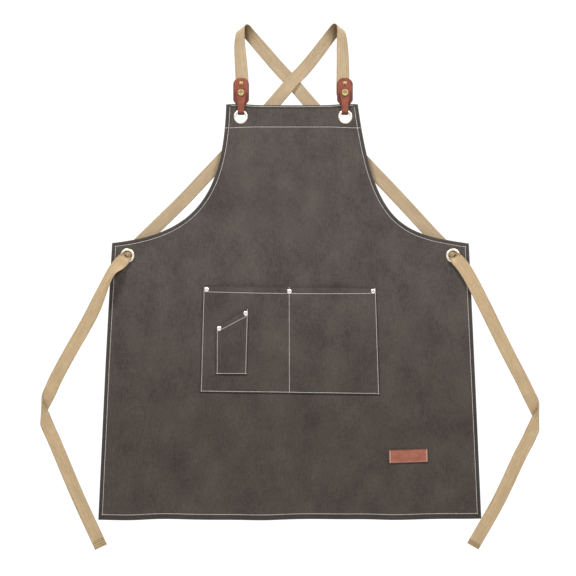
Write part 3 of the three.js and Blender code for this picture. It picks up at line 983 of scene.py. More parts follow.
    def seam_relief(self, x: Points, z: Points) -> Points:
        """Dimple along the facing's stitch line on the front."""
        return 0.35 * MM * bump(z, self.facing_height(x), 0.9 * MM)

    def facing_height(self, x: Points) -> Points:
        """Height of the facing's stitch line, a little lower at its ends."""
        return self.facing_line - 1.8 * MM * ease(np.abs(x), 70 * MM, 130 * MM)

    def cloth(self) -> Cloth:
        """The closed panel mesh, with a darker hem band tone and a wear tone."""
        insets, depths = self.rows()
        count = len(self.outline)
        corners, seam = [], []
        for inset, depth in zip(insets, depths):
            ring = self.outline + self.inward * inset
            is_back = depth > self.hem_thickness / 2 + 1e-6
            y = self.face(ring[:, 0], ring[:, 1]) + depth
            y = y + (self.facing(ring[:, 1]) * 0.5 if is_back else 0.0)
            corners.append(np.stack([ring[:, 0], y, ring[:, 1]], axis=1))
            seam.append(np.full(count, float(inset < self.stitch_inset + 0.2 * MM)))
        faces = lattice(len(insets), count, closed=True)
        last = (len(insets) - 1) * count
        inner = self.outline + self.inward * insets[0]
        spots, triangles, rims = self.fill(inner)
        extra = spots[count:]
        flat_y = self.face(extra[:, 0], extra[:, 1]) + self.seam_relief(extra[:, 0], extra[:, 1])
        back_y = self.face(extra[:, 0], extra[:, 1]) + self.thickness + self.facing(extra[:, 1])
        start_front = len(insets) * count
        start_back = start_front + len(extra)
        corners.append(np.stack([extra[:, 0], flat_y, extra[:, 1]], axis=1))
        corners.append(np.stack([extra[:, 0], back_y, extra[:, 1]], axis=1))
        seam.extend([np.zeros(len(extra)), np.zeros(len(extra))])

        def front(i: int) -> int:
            return i if i < count else start_front + i - count

        def back(i: int) -> int:
            return last + i if i < count else start_back + i - count

        for a, b, c in triangles:
            faces.append((front(a), front(b), front(c)))
            faces.append((back(a), back(c), back(b)))
        for rim in rims:
            for a, b in zip(rim, [*rim[1:], rim[0]]):
                faces.append((front(a), front(b), back(b), back(a)))
        tone = np.concatenate(seam)
        spread = np.vstack(corners)
        wear = bump(self.edge_distance(spread[:, 0], spread[:, 2]), 0.0, 1.5 * MM)
        return Cloth(spread, faces, spread[:, [0, 2]], {"seam": tone, "wear": wear})

    def fill(self, inner: Points) -> tuple[Points, list[tuple[int, ...]], list[list[int]]]:
        """Triangles inside the innermost hem row, around the eyelet holes.

        Args:
            inner: the innermost row.

        Returns:
            The corners with the row first, the triangles seen from the front, and each hole's corners.
        """
        rims, spots = [], [inner]
        used = len(inner)
        edges = [(i, (i + 1) % used) for i in range(used)]
        turns = np.linspace(0, 2 * np.pi, 28, endpoint=False)
        holes = np.array([*self.bib_eyelets, *self.side_eyelets])
        for hole in holes:
            circle = hole + self.eyelet_hole * np.stack([np.cos(turns), np.sin(turns)], axis=1)
            rims.append(list(range(used, used + len(circle))))
            edges.extend((used + i, used + (i + 1) % len(circle)) for i in range(len(circle)))
            used += len(circle)
            spots.append(circle)
        step = self.grid
        x, z = np.meshgrid(np.arange(-0.372, 0.372, step), np.arange(-0.955, -0.160, step))
        inside = np.stack([x.ravel(), z.ravel()], axis=1)
        line = np.arange(-self.bib_half - 8 * MM, self.bib_half + 8 * MM, 3.4 * MM)
        for shift in (-2.4, -0.8, 0.0, 0.8):
            inside = np.vstack([inside, np.stack([line, self.facing_height(line) + shift * MM], axis=1)])
        rows = np.round((inside[:, 1] - self.facing_line) / MM)
        keep = contains(inner, inside) & (closest(inside, inner) > 0.55 * step)
        near_line = (np.abs(rows) < 6) & (np.arange(len(inside)) < x.size)
        keep &= ~near_line | (np.abs(inside[:, 0]) > self.bib_half + 9 * MM)
        for hole in holes:
            keep &= np.hypot(*(inside - hole).T) > self.eyelet_hole + 0.5 * step
        spots.append(inside[keep])
        flat = np.vstack(spots)
        made = delaunay_2d_cdt([Vector(p) for p in flat], edges, [], 2, 1e-7, True)
        order = [ids[0] if ids else -1 for ids in made[3]]
        if min(order) < 0:
            raise ValueError("the panel's outline crosses itself")
        chosen = np.array([[order[i] for i in face] for face in made[2]])
        owner = np.zeros(len(flat), int)
        for number, rim in enumerate(rims, 1):
            owner[rim] = number
        plug = (owner[chosen].min(axis=1) == owner[chosen].max(axis=1)) & (owner[chosen[:, 0]] > 0)
        chosen = chosen[contains(inner, flat[chosen].mean(axis=1)) & ~plug]
        a, b, c = (flat[chosen[:, k]] for k in range(3))
        turn = (b[:, 0] - a[:, 0]) * (c[:, 1] - a[:, 1]) - (b[:, 1] - a[:, 1]) * (c[:, 0] - a[:, 0])
        flat_ones = np.abs(turn) < self.sliver
        triangles = [(p, q, r) if way > 0 else (p, r, q)
                     for (p, q, r), way, thin in zip(chosen.tolist(), turn, flat_ones) if not thin]
        return flat, triangles, rims

    def stitch_paths(self) -> list[Points]:
        """Thread lines on front and back: hems, top edge and facing."""
        paths = []
        count = len(self.outline)
        sides = ["hem", "right_lower", "right_upper", "right_armhole",
                 "left_armhole", "left_upper", "left_lower"]
        for word in sides:
            first, last = self.spans[word]
            index = np.arange(first, last + 1) % count
            ring = self.outline[index] + self.inward[index] * self.stitch_inset
            if word.endswith("armhole"):
                ring = ring[ring[:, 1] < self.bib_top - 3 * MM]
            paths.extend(self.both_faces(ring, self.hem_thickness))
        first, last = self.spans["top"]
        index = np.arange(first + 1, last)
        ring = self.outline[index] + self.inward[index] * self.top_stitch_inset
        inner = self.bib_half - self.stitch_inset
        paths.extend(self.both_faces(ring[np.abs(ring[:, 0]) < inner], self.hem_thickness + 0.4 * MM))
        x = np.linspace(-self.bib_half - 2 * MM, self.bib_half + 4.5 * MM, 70)
        line = np.stack([x, self.facing_height(x)], axis=1)
        paths.extend(self.both_faces(line, self.thickness + self.facing_depth))
        return paths

    def both_faces(self, line: Points, through: float) -> list[Points]:
        """A stitch line laid on the front and, half a step on, on the back."""
        y = self.face(line[:, 0], line[:, 1])
        front = np.stack([line[:, 0], y + 0.02 * MM, line[:, 1]], axis=1)
        back = np.stack([line[:, 0], y + through - 0.1 * MM, line[:, 1]], axis=1)
        return [front, back]

    def build(self, looks: Finishes, stitches: Tree) -> None:
        """Makes the panel and its thread."""
        panel = self.cloth().piece("apron_panel", looks.canvas, 60.0)
        settle(panel, "apron", ["canvas_panel"])
        thread = sew("panel_stitches", self.stitch_paths(), looks.thread, stitches)
        settle(thread, "apron")


def closest(points: Points, loop: Points) -> Points:
    """Distance from each point to a closed outline."""
    a, b = loop, np.roll(loop, -1, axis=0)
    run = b - a
    squared = np.sum(run**2, axis=1)
    best = np.full(len(points), np.inf)
    for chunk in range(0, len(points), 4000):
        p = points[chunk:chunk + 4000]
        t = np.clip(((p[:, None] - a[None]) * run[None]).sum(-1) / squared[None], 0, 1)
        gap = p[:, None] - (a[None] + run[None] * t[..., None])
        best[chunk:chunk + 4000] = np.sqrt((gap**2).sum(-1).min(axis=1))
    return best


def contains(loop: Points, points: Points) -> Points:
    """Which points lie inside a closed outline."""
    inside = np.zeros(len(points), bool)
    for (x1, z1), (x2, z2) in zip(loop, np.roll(loop, -1, axis=0)):
        crosses = (z1 > points[:, 1]) != (z2 > points[:, 1])
        if abs(z2 - z1) > 1e-12:
            at = x1 + (points[:, 1] - z1) * (x2 - x1) / (z2 - z1)
            inside ^= crosses & (points[:, 0] < at)
    return inside


def sew(
    name: str, paths: Sequence[Points], finish: bpy.types.Material, tree: Tree, pitch: float = 3.5
) -> bpy.types.Object:
    """Runs thread along paths.

    Args:
        name: the piece's name.
        paths: the thread lines.
        finish: the thread's finish.
        tree: the stitch tree.
        pitch: step from stitch to stitch, in millimetres.

    Returns:
        The thread as one mesh.
    """
    base = path_object(name, paths)
    return tree.apply(base, Pitch=pitch * MM, Length=pitch * 1.02 * MM, Thread=1.3 * MM, Finish=finish)


# ---- pockets -------------------------------------------------------------------------------------
@dataclass
class Pocket:
    """A patch pocket sewn down on three sides, its mouth standing open a little.

    Attributes:
        corners: top left, top right, bottom left and bottom right as (x, z).
        belly: how far the mouth stands off.
        margin: flat width that is sewn down at each side.
        under: the surface below, as y over x and z.
        divider: share of the width where a middle seam holds the pocket down, or None.
    """

    name: str
    node: str
    corners: tuple[tuple[float, float], ...]
    belly: float
    margin: float
    under: Height
    divider: float | None = None
    mouth_line: float = 11.5 * MM
    mouth_sag: float = 0.0
    side_line: float = 2.5 * MM
    thickness: float = 0.9 * MM
    fold: float = 1.7 * MM

    def place(self, u: Points, v: Points) -> tuple[Points, Points]:
        """x and z at shares across and down."""
        tl, tr, bl, br = (np.array(c) for c in self.corners)
        u, v = np.asarray(u, float)[..., None], np.asarray(v, float)[..., None]
        spot = (tl * (1 - u) + tr * u) * (1 - v) + (bl * (1 - u) + br * u) * v
        return spot[..., 0], spot[..., 1]

    def shares(self, x: Points, z: Points) -> tuple[Points, Points]:
        """Shares across and down at x and z."""
        tl, tr, bl, br = self.corners
        u = np.full(np.shape(x), 0.5)
        v = np.full(np.shape(x), 0.5)
        for _ in range(5):
            top = tl[1] + (tr[1] - tl[1]) * u
            low = bl[1] + (br[1] - bl[1]) * u
            v = (z - top) / (low - top)
            left = tl[0] + (bl[0] - tl[0]) * v
            right = tr[0] + (br[0] - tr[0]) * v
            u = (x - left) / (right - left)
        return u, v

    @property
    def width(self) -> float:
        """Width along the mouth, measured level."""
        return self.corners[1][0] - self.corners[0][0]

    @property
    def height(self) -> float:
        """Height of the middle."""
        tops = (self.corners[0][1] + self.corners[1][1]) / 2
        lows = (self.corners[2][1] + self.corners[3][1]) / 2
        return tops - lows

    def rise(self, u: Points, v: Points) -> Points:
        """How far the cloth stands off at shares across and down."""
        span = self.width
        t = np.asarray(u, float)
        if self.divider is not None:
            t = np.where(t < self.divider, t / self.divider, (t - self.divider) / (1 - self.divider))
            span = span / 2
        inner = np.clip((t * span - self.margin) / (span - 2 * self.margin), 0, 1)
        swell = np.sin(np.pi * inner) ** 0.75
        hang = np.maximum(1 - np.clip(v, 0, 1) ** 2.6, 0) ** 0.8
        return self.belly * swell * hang

    def face(self, x: Points, z: Points) -> Points:
        """The pocket's front surface as y."""
        u, v = self.shares(x, z)
        return self.under(x, z) - self.fold - 0.05 * MM - self.rise(u, v)

    def insets(self, u: Points, v: Points) -> tuple[Points, Points]:
        """Distance to the nearest sewn side, and to the mouth."""
        sides = np.minimum(np.minimum(u, 1 - u) * self.width, (1 - v) * self.height)
        return sides, v * self.height

    def lines(self, span: float, near: tuple[float, ...], step: float) -> Points:
        """Shares for grid lines: close together at the edges, even between."""
        edge = np.array(near) * MM
        middle = np.linspace(edge[-1], span - edge[-1], max(4, int((span - 2 * edge[-1]) / step)))[1:-1]
        return np.concatenate([edge, middle, span - edge[::-1]]) / span

    def cloth(self) -> Cloth:
        """The closed pocket mesh."""
        near = (0.0, 0.1, 0.3, 0.6, 0.9, 1.4, 2.2, 3.0, 4.2, 6.0, 7.6, 9.0, 10.6, 11.5, 12.4)
        us = self.lines(self.width, near, 4.5 * MM)
        if self.divider is not None:
            around = self.divider + np.array([-3.0, -1.6, -0.7, 0.0, 0.7, 1.6, 3.0]) * MM / self.width
            clear = np.abs(us - self.divider) > 4.4 * MM / self.width
            us = np.sort(np.concatenate([us[clear], around]))
        vs = self.lines(self.height, near, 4.5 * MM)
        u, v = np.meshgrid(us, vs)
        x, z = self.place(u, v)
        sides, mouth = self.insets(u, v)
        edge = np.minimum(sides, mouth)
        setback = fold_setback(edge, self.fold / 2)
        groove = 0.30 * bump(sides, self.side_line, 0.8 * MM)
        groove = np.maximum(groove, 0.30 * bump(mouth, self.mouth_line, 0.8 * MM))
        if self.divider is not None:
            groove = np.maximum(groove, 0.35 * bump((u - self.divider) * self.width, 0.0, 0.9 * MM))
        pucker = 0.12 * np.sin(z / (4.1 * MM)) * bump(sides, 5 * MM, 5 * MM)
        pucker += 0.12 * np.sin(x / (4.3 * MM)) * bump(mouth, 7 * MM, 5 * MM)
        front = self.under(x, z) - self.fold - 0.05 * MM - self.rise(u, v)
        doubled = np.maximum(1 - ease(sides, 8.6 * MM, 9.4 * MM), 1 - ease(mouth, 13.0 * MM, 13.8 * MM))
        through = self.thickness + (self.fold - self.thickness) * doubled
        face_y = front + setback + (groove + pucker * (edge > 1.0 * MM)) * MM
        back_y = front + through - setback
        rows, columns = u.shape
        outer = np.zeros_like(u, bool)
        outer[[0, -1], :] = True
        outer[:, [0, -1]] = True
        corners = np.stack([x, face_y, z], axis=-1).reshape(-1, 3)
        behind = np.stack([x, back_y, z], axis=-1).reshape(-1, 3)[~outer.ravel()]
        index = np.arange(rows * columns)
        back_index = index.copy()
        back_index[~outer.ravel()] = rows * columns + np.arange(len(behind))
        faces = lattice(rows, columns)
        faces.extend(tuple(int(back_index[i]) for i in reversed(face)) for face in lattice(rows, columns))
        spread = np.vstack([corners, behind])
        # Painted shadow: the band from each sewn edge to its stitch line, and more along the outer edges themselves.
        seam_band_shadow = 0.6 * (np.minimum(sides, mouth * 2) < self.side_line + 0.2 * MM)
        tone = (seam_band_shadow + 1.2 * (edge < 1.2 * MM)).ravel()
        wear = 0.15 * bump(edge, 1.0 * MM, 0.6 * MM).ravel()
        inside = ~outer.ravel()
        tones = {"seam": np.concatenate([tone, tone[inside]]), "wear": np.concatenate([wear, wear[inside]])}
        return Cloth(spread, faces, spread[:, [0, 2]], tones)

    def line(
        self, start: tuple[float, float], end: tuple[float, float], count: int = 40, sag: float = 0.0,
    ) -> Points:
        """A thread line on the pocket's face between two shares (across, down), sagging in the middle."""
        t = np.linspace(0, 1, count)
        u = start[0] + (end[0] - start[0]) * t
        v = start[1] + (end[1] - start[1]) * t + sag * np.sin(np.pi * t)
        x, z = self.place(u, v)
        return np.stack([x, self.face(x, z) + 0.06 * MM, z], axis=1)

    def stitch_paths(self) -> list[Points]:
        """Thread lines on the pocket's face."""
        side = self.side_line / self.width
        low = 1 - self.side_line / self.height
        mouth = self.mouth_line / self.height
        paths = [
            self.line((side, 2 * MM / self.height), (side, low)),
            self.line((side, low), (1 - side, low), 90),
            self.line((1 - side, low), (1 - side, 2 * MM / self.height)),
            self.line((side, mouth), (1 - side, mouth), 90, self.mouth_sag / self.height),
        ]
        if self.divider is not None:
            paths.append(self.line((self.divider, 0.008), (self.divider, low), 60))
        return paths

    def build(self, looks: Finishes, stitches: Tree) -> None:
        """Makes the pocket and its thread."""
        pocket = self.cloth().piece(self.name, looks.canvas, 60.0)
        settle(pocket, "apron", [self.node])
        thread = sew(f"{self.name}_stitches", self.stitch_paths(), looks.thread, stitches)
        settle(thread, "apron")


# ---- leather label -------------------------------------------------------------------------------
@dataclass
class Label:
    """The blank leather patch low on the skirt."""

    panel: Panel
    centre: tuple[float, float] = (227 * MM, -838.5 * MM)
    width: float = 77.0 * MM
    height: float = 26.6 * MM
    tilt: float = 1.6
    thickness: float = 1.8 * MM

    def cloth(self) -> Cloth:
        """The patch, with its edges rounded over."""
        near = np.array([0.0, 0.12, 0.35, 0.7, 1.0, 1.5, 2.2, 3.0, 3.8, 4.6, 5.2, 5.8]) * MM
        flat = 6.6 * MM
        across = np.concatenate([near, np.linspace(flat, self.width - flat, 24), self.width - near[::-1]])
        down = np.concatenate([near, np.linspace(flat, self.height - flat, 7), self.height - near[::-1]])
        a, b = np.meshgrid(across, down)
        inset = np.minimum(np.minimum(a, self.width - a), np.minimum(b, self.height - b))
        turn = math.radians(self.tilt)
        dx, dz = a - self.width / 2, self.height / 2 - b
        bow = 0.35 * MM * np.sin(np.pi * a / self.width) ** 2
        dz = dz - bow
        x = self.centre[0] + dx * math.cos(turn) - dz * math.sin(turn)
        z = self.centre[1] + dz * math.cos(turn) + dx * math.sin(turn)
        front = self.panel.face(x, z) - self.thickness - 0.05 * MM
        setback = fold_setback(inset, self.thickness / 2)
        rows, columns = a.shape
        face = np.stack([x, front + setback, z], axis=-1).reshape(-1, 3)
        back = np.stack([x, front + self.thickness - setback, z], axis=-1).reshape(-1, 3)
        rim = np.isclose(inset, 0).ravel()
        index = np.arange(rows * columns)
        back_index = index.copy()
        back_index[~rim] = rows * columns + np.arange(int((~rim).sum()))
        faces = lattice(rows, columns)
        faces.extend(tuple(int(back_index[i]) for i in reversed(f)) for f in lattice(rows, columns))
        ends = np.minimum(a, self.width - a)
        low = self.height - b
        light = (1 - ease(ends, 3.0 * MM, 4.6 * MM)) + 0.55 * (1 - ease(low, 2.2 * MM, 3.6 * MM))
        # The dark rim is partly the leather's dark edge and partly painted shadow along the outline.
        dark = (1 - ease(inset, 1.1 * MM, 1.9 * MM)) + 0.35 * bump(a, 5.2 * MM, 0.7 * MM)
        light, dark = (np.clip(np.concatenate([t.ravel(), t.ravel()[~rim]]), 0, 1) for t in (light, dark))
        spread = np.vstack([face, back[~rim]])
        return Cloth(spread, faces, spread[:, [0, 2]], {"edge": light, "rim": dark})

    def build(self, looks: Finishes) -> None:
        """Makes the label."""
        settle(self.cloth().piece("leather_patch", looks.label, 60.0), "apron", ["leather_label"])


# ---- turned fittings -----------------------------------------------------------------------------
Profile = Sequence[tuple[float, float]]

EYELET_FACE: Profile = (
    (9.0, 2.0), (9.0, -0.6), (9.15, -1.3), (9.6, -1.95), (10.3, -2.35), (11.2, -2.5), (12.2, -2.4), (13.1, -2.0),
    (13.75, -1.4), (14.0, -0.8), (13.6, -0.68), (10.0, -0.68), (10.0, 2.0))
EYELET_WASHER: Profile = (
    (10.15, 0.1), (13.6, 0.1), (14.0, 0.35), (13.9, 0.7), (13.3, 0.95), (11.8, 1.15), (10.6, 1.2), (10.15, 0.9))
RIVET_CAP: Profile = (
    (0.0, -2.05), (1.4, -2.0), (2.7, -1.8), (3.8, -1.35), (4.6, -0.75), (4.95, -0.3), (5.0, 0.0), (4.7, 0.15),
    (0.0, 0.15))
RIVET_BURR: Profile = (
    (0.0, -0.1), (4.0, -0.1), (4.2, 0.15), (4.1, 0.5), (3.5, 0.8), (2.4, 0.9), (1.9, 0.75), (1.6, 1.1), (0.0, 1.2))
TAB_RIVET: Profile = (
    (0.0, -1.5), (1.0, -1.47), (2.0, -1.32), (3.0, -1.0), (3.8, -0.55), (4.1, -0.15), (4.0, 0.1), (0.0, 0.1))
SNAP_CAP: Profile = (
    (0.0, -1.5), (1.3, -1.5), (2.5, -1.5), (3.2, -1.65), (3.8, -2.1), (4.4, -2.38), (5.0, -2.4), (5.9, -2.1),
    (6.6, -1.4), (7.05, -0.7), (7.1, -0.2), (6.8, 0.1), (0.0, 0.1))
SNAP_SOCKET: Profile = (
    (2.6, 0.0), (5.6, 0.0), (6.0, 0.4), (6.0, 1.2), (5.5, 1.9), (4.6, 2.2), (3.4, 2.2), (2.7, 1.9), (2.6, 1.2))
SNAP_STUD: Profile = (
    (0.0, -2.6), (1.2, -2.5), (2.0, -2.1), (2.2, -1.5), (1.8, -0.9), (2.1, -0.6), (4.6, -0.6), (5.2, -0.3),
    (5.2, 0.1), (0.0, 0.1))
SNAP_POST: Profile = (
    (0.0, 1.2), (2.2, 1.15), (3.6, 1.0), (4.6, 0.6), (5.0, 0.1), (4.8, -0.1), (0.0, -0.1))


def turned(name: str, profile: Profile, segments: int, finish: bpy.types.Material) -> bpy.types.Object:
    """A turned fitting about the y axis.

    Args:
        name: its name.
        profile: (radius, y) pairs in millimetres. It runs from the axis to the axis, or closes on itself.
        segments: number of sides.
        finish: its material.

    Returns:
        The fitting at the origin, with a tone for tarnish where dirt would stay and for painted shade round its outer
        rim.
    """
    solid = profile[0][0] == 0.0
    turns = np.linspace(0, 2 * np.pi, segments, endpoint=False)
    body = profile[1:-1] if solid else profile
    rings = [np.stack([r * np.cos(turns), np.full(segments, y), r * np.sin(turns)], axis=1) for r, y in body]
    corners = np.vstack(rings) * MM
    faces = lattice(len(body), segments, closed=True)
    depth = np.repeat([y for _, y in body], segments)
    radius = np.repeat([r for r, _ in body], segments)
    if solid:
        first, last = len(corners), len(corners) + 1
        corners = np.vstack([corners, [[0, profile[0][1] * MM, 0], [0, profile[-1][1] * MM, 0]]])
        depth = np.append(depth, [profile[0][1], profile[-1][1]])
        radius = np.append(radius, [0.0, 0.0])
        top = (len(body) - 1) * segments
        for j in range(segments):
            k = (j + 1) % segments
            faces.append((first, j, k))
            faces.append((last, top + k, top + j))
    else:
        end = (len(body) - 1) * segments
        faces.extend((end + j, j, (j + 1) % segments, end + (j + 1) % segments) for j in range(segments))
    hollow = ease(depth, float(depth.min()) + 0.5, float(depth.min()) + 1.9)
    # Painted shade round the outer rim.
    hollow = np.maximum(hollow, ease(radius, 0.90 * float(radius.max()), 0.99 * float(radius.max())))
    made = Cloth(corners, faces, None, {"hollow": hollow}).piece(name, finish, 55.0)
    outward(made)
    return made


def outward(piece: bpy.types.Object) -> None:
    """Turns a closed mesh's faces outwards if its volume comes out negative."""
    mesh = piece.data
    mesh.calc_loop_triangles()
    corner = np.array([v.co for v in mesh.vertices], float)
    tri = np.array([t.vertices for t in mesh.loop_triangles], int)
    a, b, c = corner[tri[:, 0]], corner[tri[:, 1]], corner[tri[:, 2]]
    if np.einsum("ij,ij->i", a, np.cross(b, c)).sum() < 0:
        mesh.flip_normals()


@dataclass
class Fitting:
    """One kind of turned fitting: its shape, where copies sit and what they stand for."""

    name: str
    profile: Profile
    places: Sequence[tuple[float, float, float]]
    body: str
    slot: Slot
    nodes: Sequence[str]
    segments: int = 40

    def build(self, tree: Tree, finish: bpy.types.Material) -> bpy.types.Object:
        """Sets a copy at each place and puts them on their body."""
        model = turned(f"{self.name}_model", self.profile, self.segments, finish)
        base = path_object(self.name, [np.array([place]) for place in self.places])
        tree.apply(base, Fitting=model, Spin=2 * math.pi, Finish=finish)
        base.data.set_sharp_from_angle(angle=math.radians(55.0))
        bpy.data.objects.remove(model)
        return settle(base, self.body, self.nodes)


# ---- webbing and leather -------------------------------------------------------------------------
@dataclass
class ShoulderStrap:
    """One webbing: from behind its tab, over the peg, across the back and into the far side eyelet."""

    side: Side
    panel: Panel
    width: float = 25.4 * MM
    thickness: float = 1.6 * MM

    def edges(self) -> tuple[Points, Points]:
        """Matching points on the outer and the inner edge, from the tab over the roll to the crossing."""
        left = self.side is Side.LEFT
        paddle, top, lift = (0.0, 0.0, 0.0) if left else (1.6, -4.6, 1.6)
        outer = [
            (110.4, 5.4, -134), (110.4, 5.4, -112), (110.5, 5.3, -99), (112.0, 4.4, -66), (112.7, 3.0, -38),
            (111.0, 3.2, -22), (109.3, 6.4, -13.4), (107.2, 12.5, -9.8), (104.0, 19.5, -10.4), (99.6, 24.6, -14.0),
            (92.4, 26.5, -20.5), (63.0, 26.0, -55.0), (34.0, 23.0, -89.0)]
        inner = [
            (85.0, 5.4, -134), (85.0, 5.4, -112), (85.3, 5.6, -99), (88.2, 8.4, -66), (91.6, 12.2, -36),
            (92.8, 13.6, -17), (92.9, 14.6, -3.0), (91.4, 16.4, 3.6), (88.4, 18.4, 6.4), (84.0, 19.6, 5.2),
            (77.0, 20.4, -2.4), (46.5, 20.4, -36.5), (16.5, 20.0, -71.0)]
        own = self.side.value

        def placed(points: list[tuple[float, float, float]]) -> Points:
            p = np.array(points, float)
            share = ease(p[:, 2], -100, -20)
            fade = ease(p[:, 0], 20, 85)
            p[:, 0] += (paddle * (1 - share) + top * share) * fade
            p[:, 2] += lift * share * fade
            p[:, 0] *= own
            return p * MM

        return placed(outer), placed(inner)

    def rear(self) -> Points:
        """Middle points from the crossing to the far eyelet."""
        own, far = self.side.value, -self.side.value
        crossing = 19.5 if self.side is Side.LEFT else 15.5
        eye_x, eye_z = self.panel.side_eyelets[1 if far > 0 else 0]
        x, z = eye_x / MM, eye_z / MM
        return np.array([
            (own * 2, crossing, -105), (far * 39, crossing - 3, -153), (far * 82, 12.6, -200), (far * 125, 9.5, -247),
            (far * 169, 9.0, -293.5), (far * 213, 8.5, -340), (x - far * 33.5, 7, z + 34.5),
            (x - far * 15, 5, z + 16.0), (x - far * 6, 3.6, z + 7.0), (x + far * 1.5, 1.9, z - 0.5)]) * MM

    def both_edges(self) -> tuple[Points, Points]:
        """Matching edge points over the whole strap."""
        outer, inner = self.edges()
        rear = self.rear()
        run = unit(np.gradient(rear, axis=0))
        across = unit(np.cross(run, np.array([[0.0, 1.0, 0.0]])))
        up = np.where((across[:, 2:3] > 0), across, -across)
        half = self.width / 2
        return np.vstack([outer, rear - up * half]), np.vstack([inner, rear + up * half])

    def stations(self, detail: int = 10) -> tuple[Points, Points, Points]:
        """Middle line, direction across and width at every station."""
        outer, inner = self.both_edges()
        a, b = Route(outer, detail).samples, Route(inner, detail).samples
        gap = b - a
        return (a + b) / 2, unit(gap), np.linalg.norm(gap, axis=1)

    def split(self, first: int, last: int | None, detail: int = 10) -> Band:
        """The band between two of the listed stations."""
        middle, across, width = self.stations(detail)
        steps = np.concatenate([[0.0], np.cumsum(np.linalg.norm(np.diff(middle, axis=0), axis=1))])
        chosen = slice(first * detail, None if last is None else last * detail + 1)
        ahead = steps[-1] - steps
        gather = 1 - ease(ahead, 2 * MM, 24 * MM)
        width = width + (self.width - width) * gather
        ripple = 0.25 * MM * np.sin(steps / (37 * MM)) * ease(steps, 0.05, 0.1)
        middle = middle + np.array([[0.0, 1.0, 0.0]]) * ripple[:, None] * (1 - gather[:, None])
        cup = gather * 118.0 + 4.0 * np.sin(steps / (52 * MM)) * (1 - gather)
        # Painted shade: the inner face darkens under the roll over the peg, and the strap's end darkens inside the
        # eyelet hole.
        peak = steps[7 * detail]
        shade = ease(steps, peak - 8 * MM, peak + 4 * MM) * (1 - ease(steps, peak + 10 * MM, peak + 46 * MM))
        shade = np.maximum(shade, 0.3 * (1 - ease(ahead, 4 * MM, 13 * MM)))
        return Band(
            middle[chosen], across[chosen] * self.side.value, width[chosen],
            np.full(len(middle), self.thickness)[chosen], cup[chosen], 13, float(steps[chosen][0]),
            shade[chosen], square=False)

    def build(self, looks: Finishes) -> None:
        """Makes the front run and the run over the peg and the back."""
        word = self.side.word
        front = self.split(0, 5).cloth().piece(f"{word}_strap_front", looks.strap, 50.0)
        outward(front)
        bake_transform(front)
        register(front, [f"{word}_strap_end"])
        back = self.split(5, None).cloth().piece(f"{word}_strap_back", looks.strap, 50.0)
        outward(back)
        settle(back, "apron", [f"{word}_shoulder_strap"])


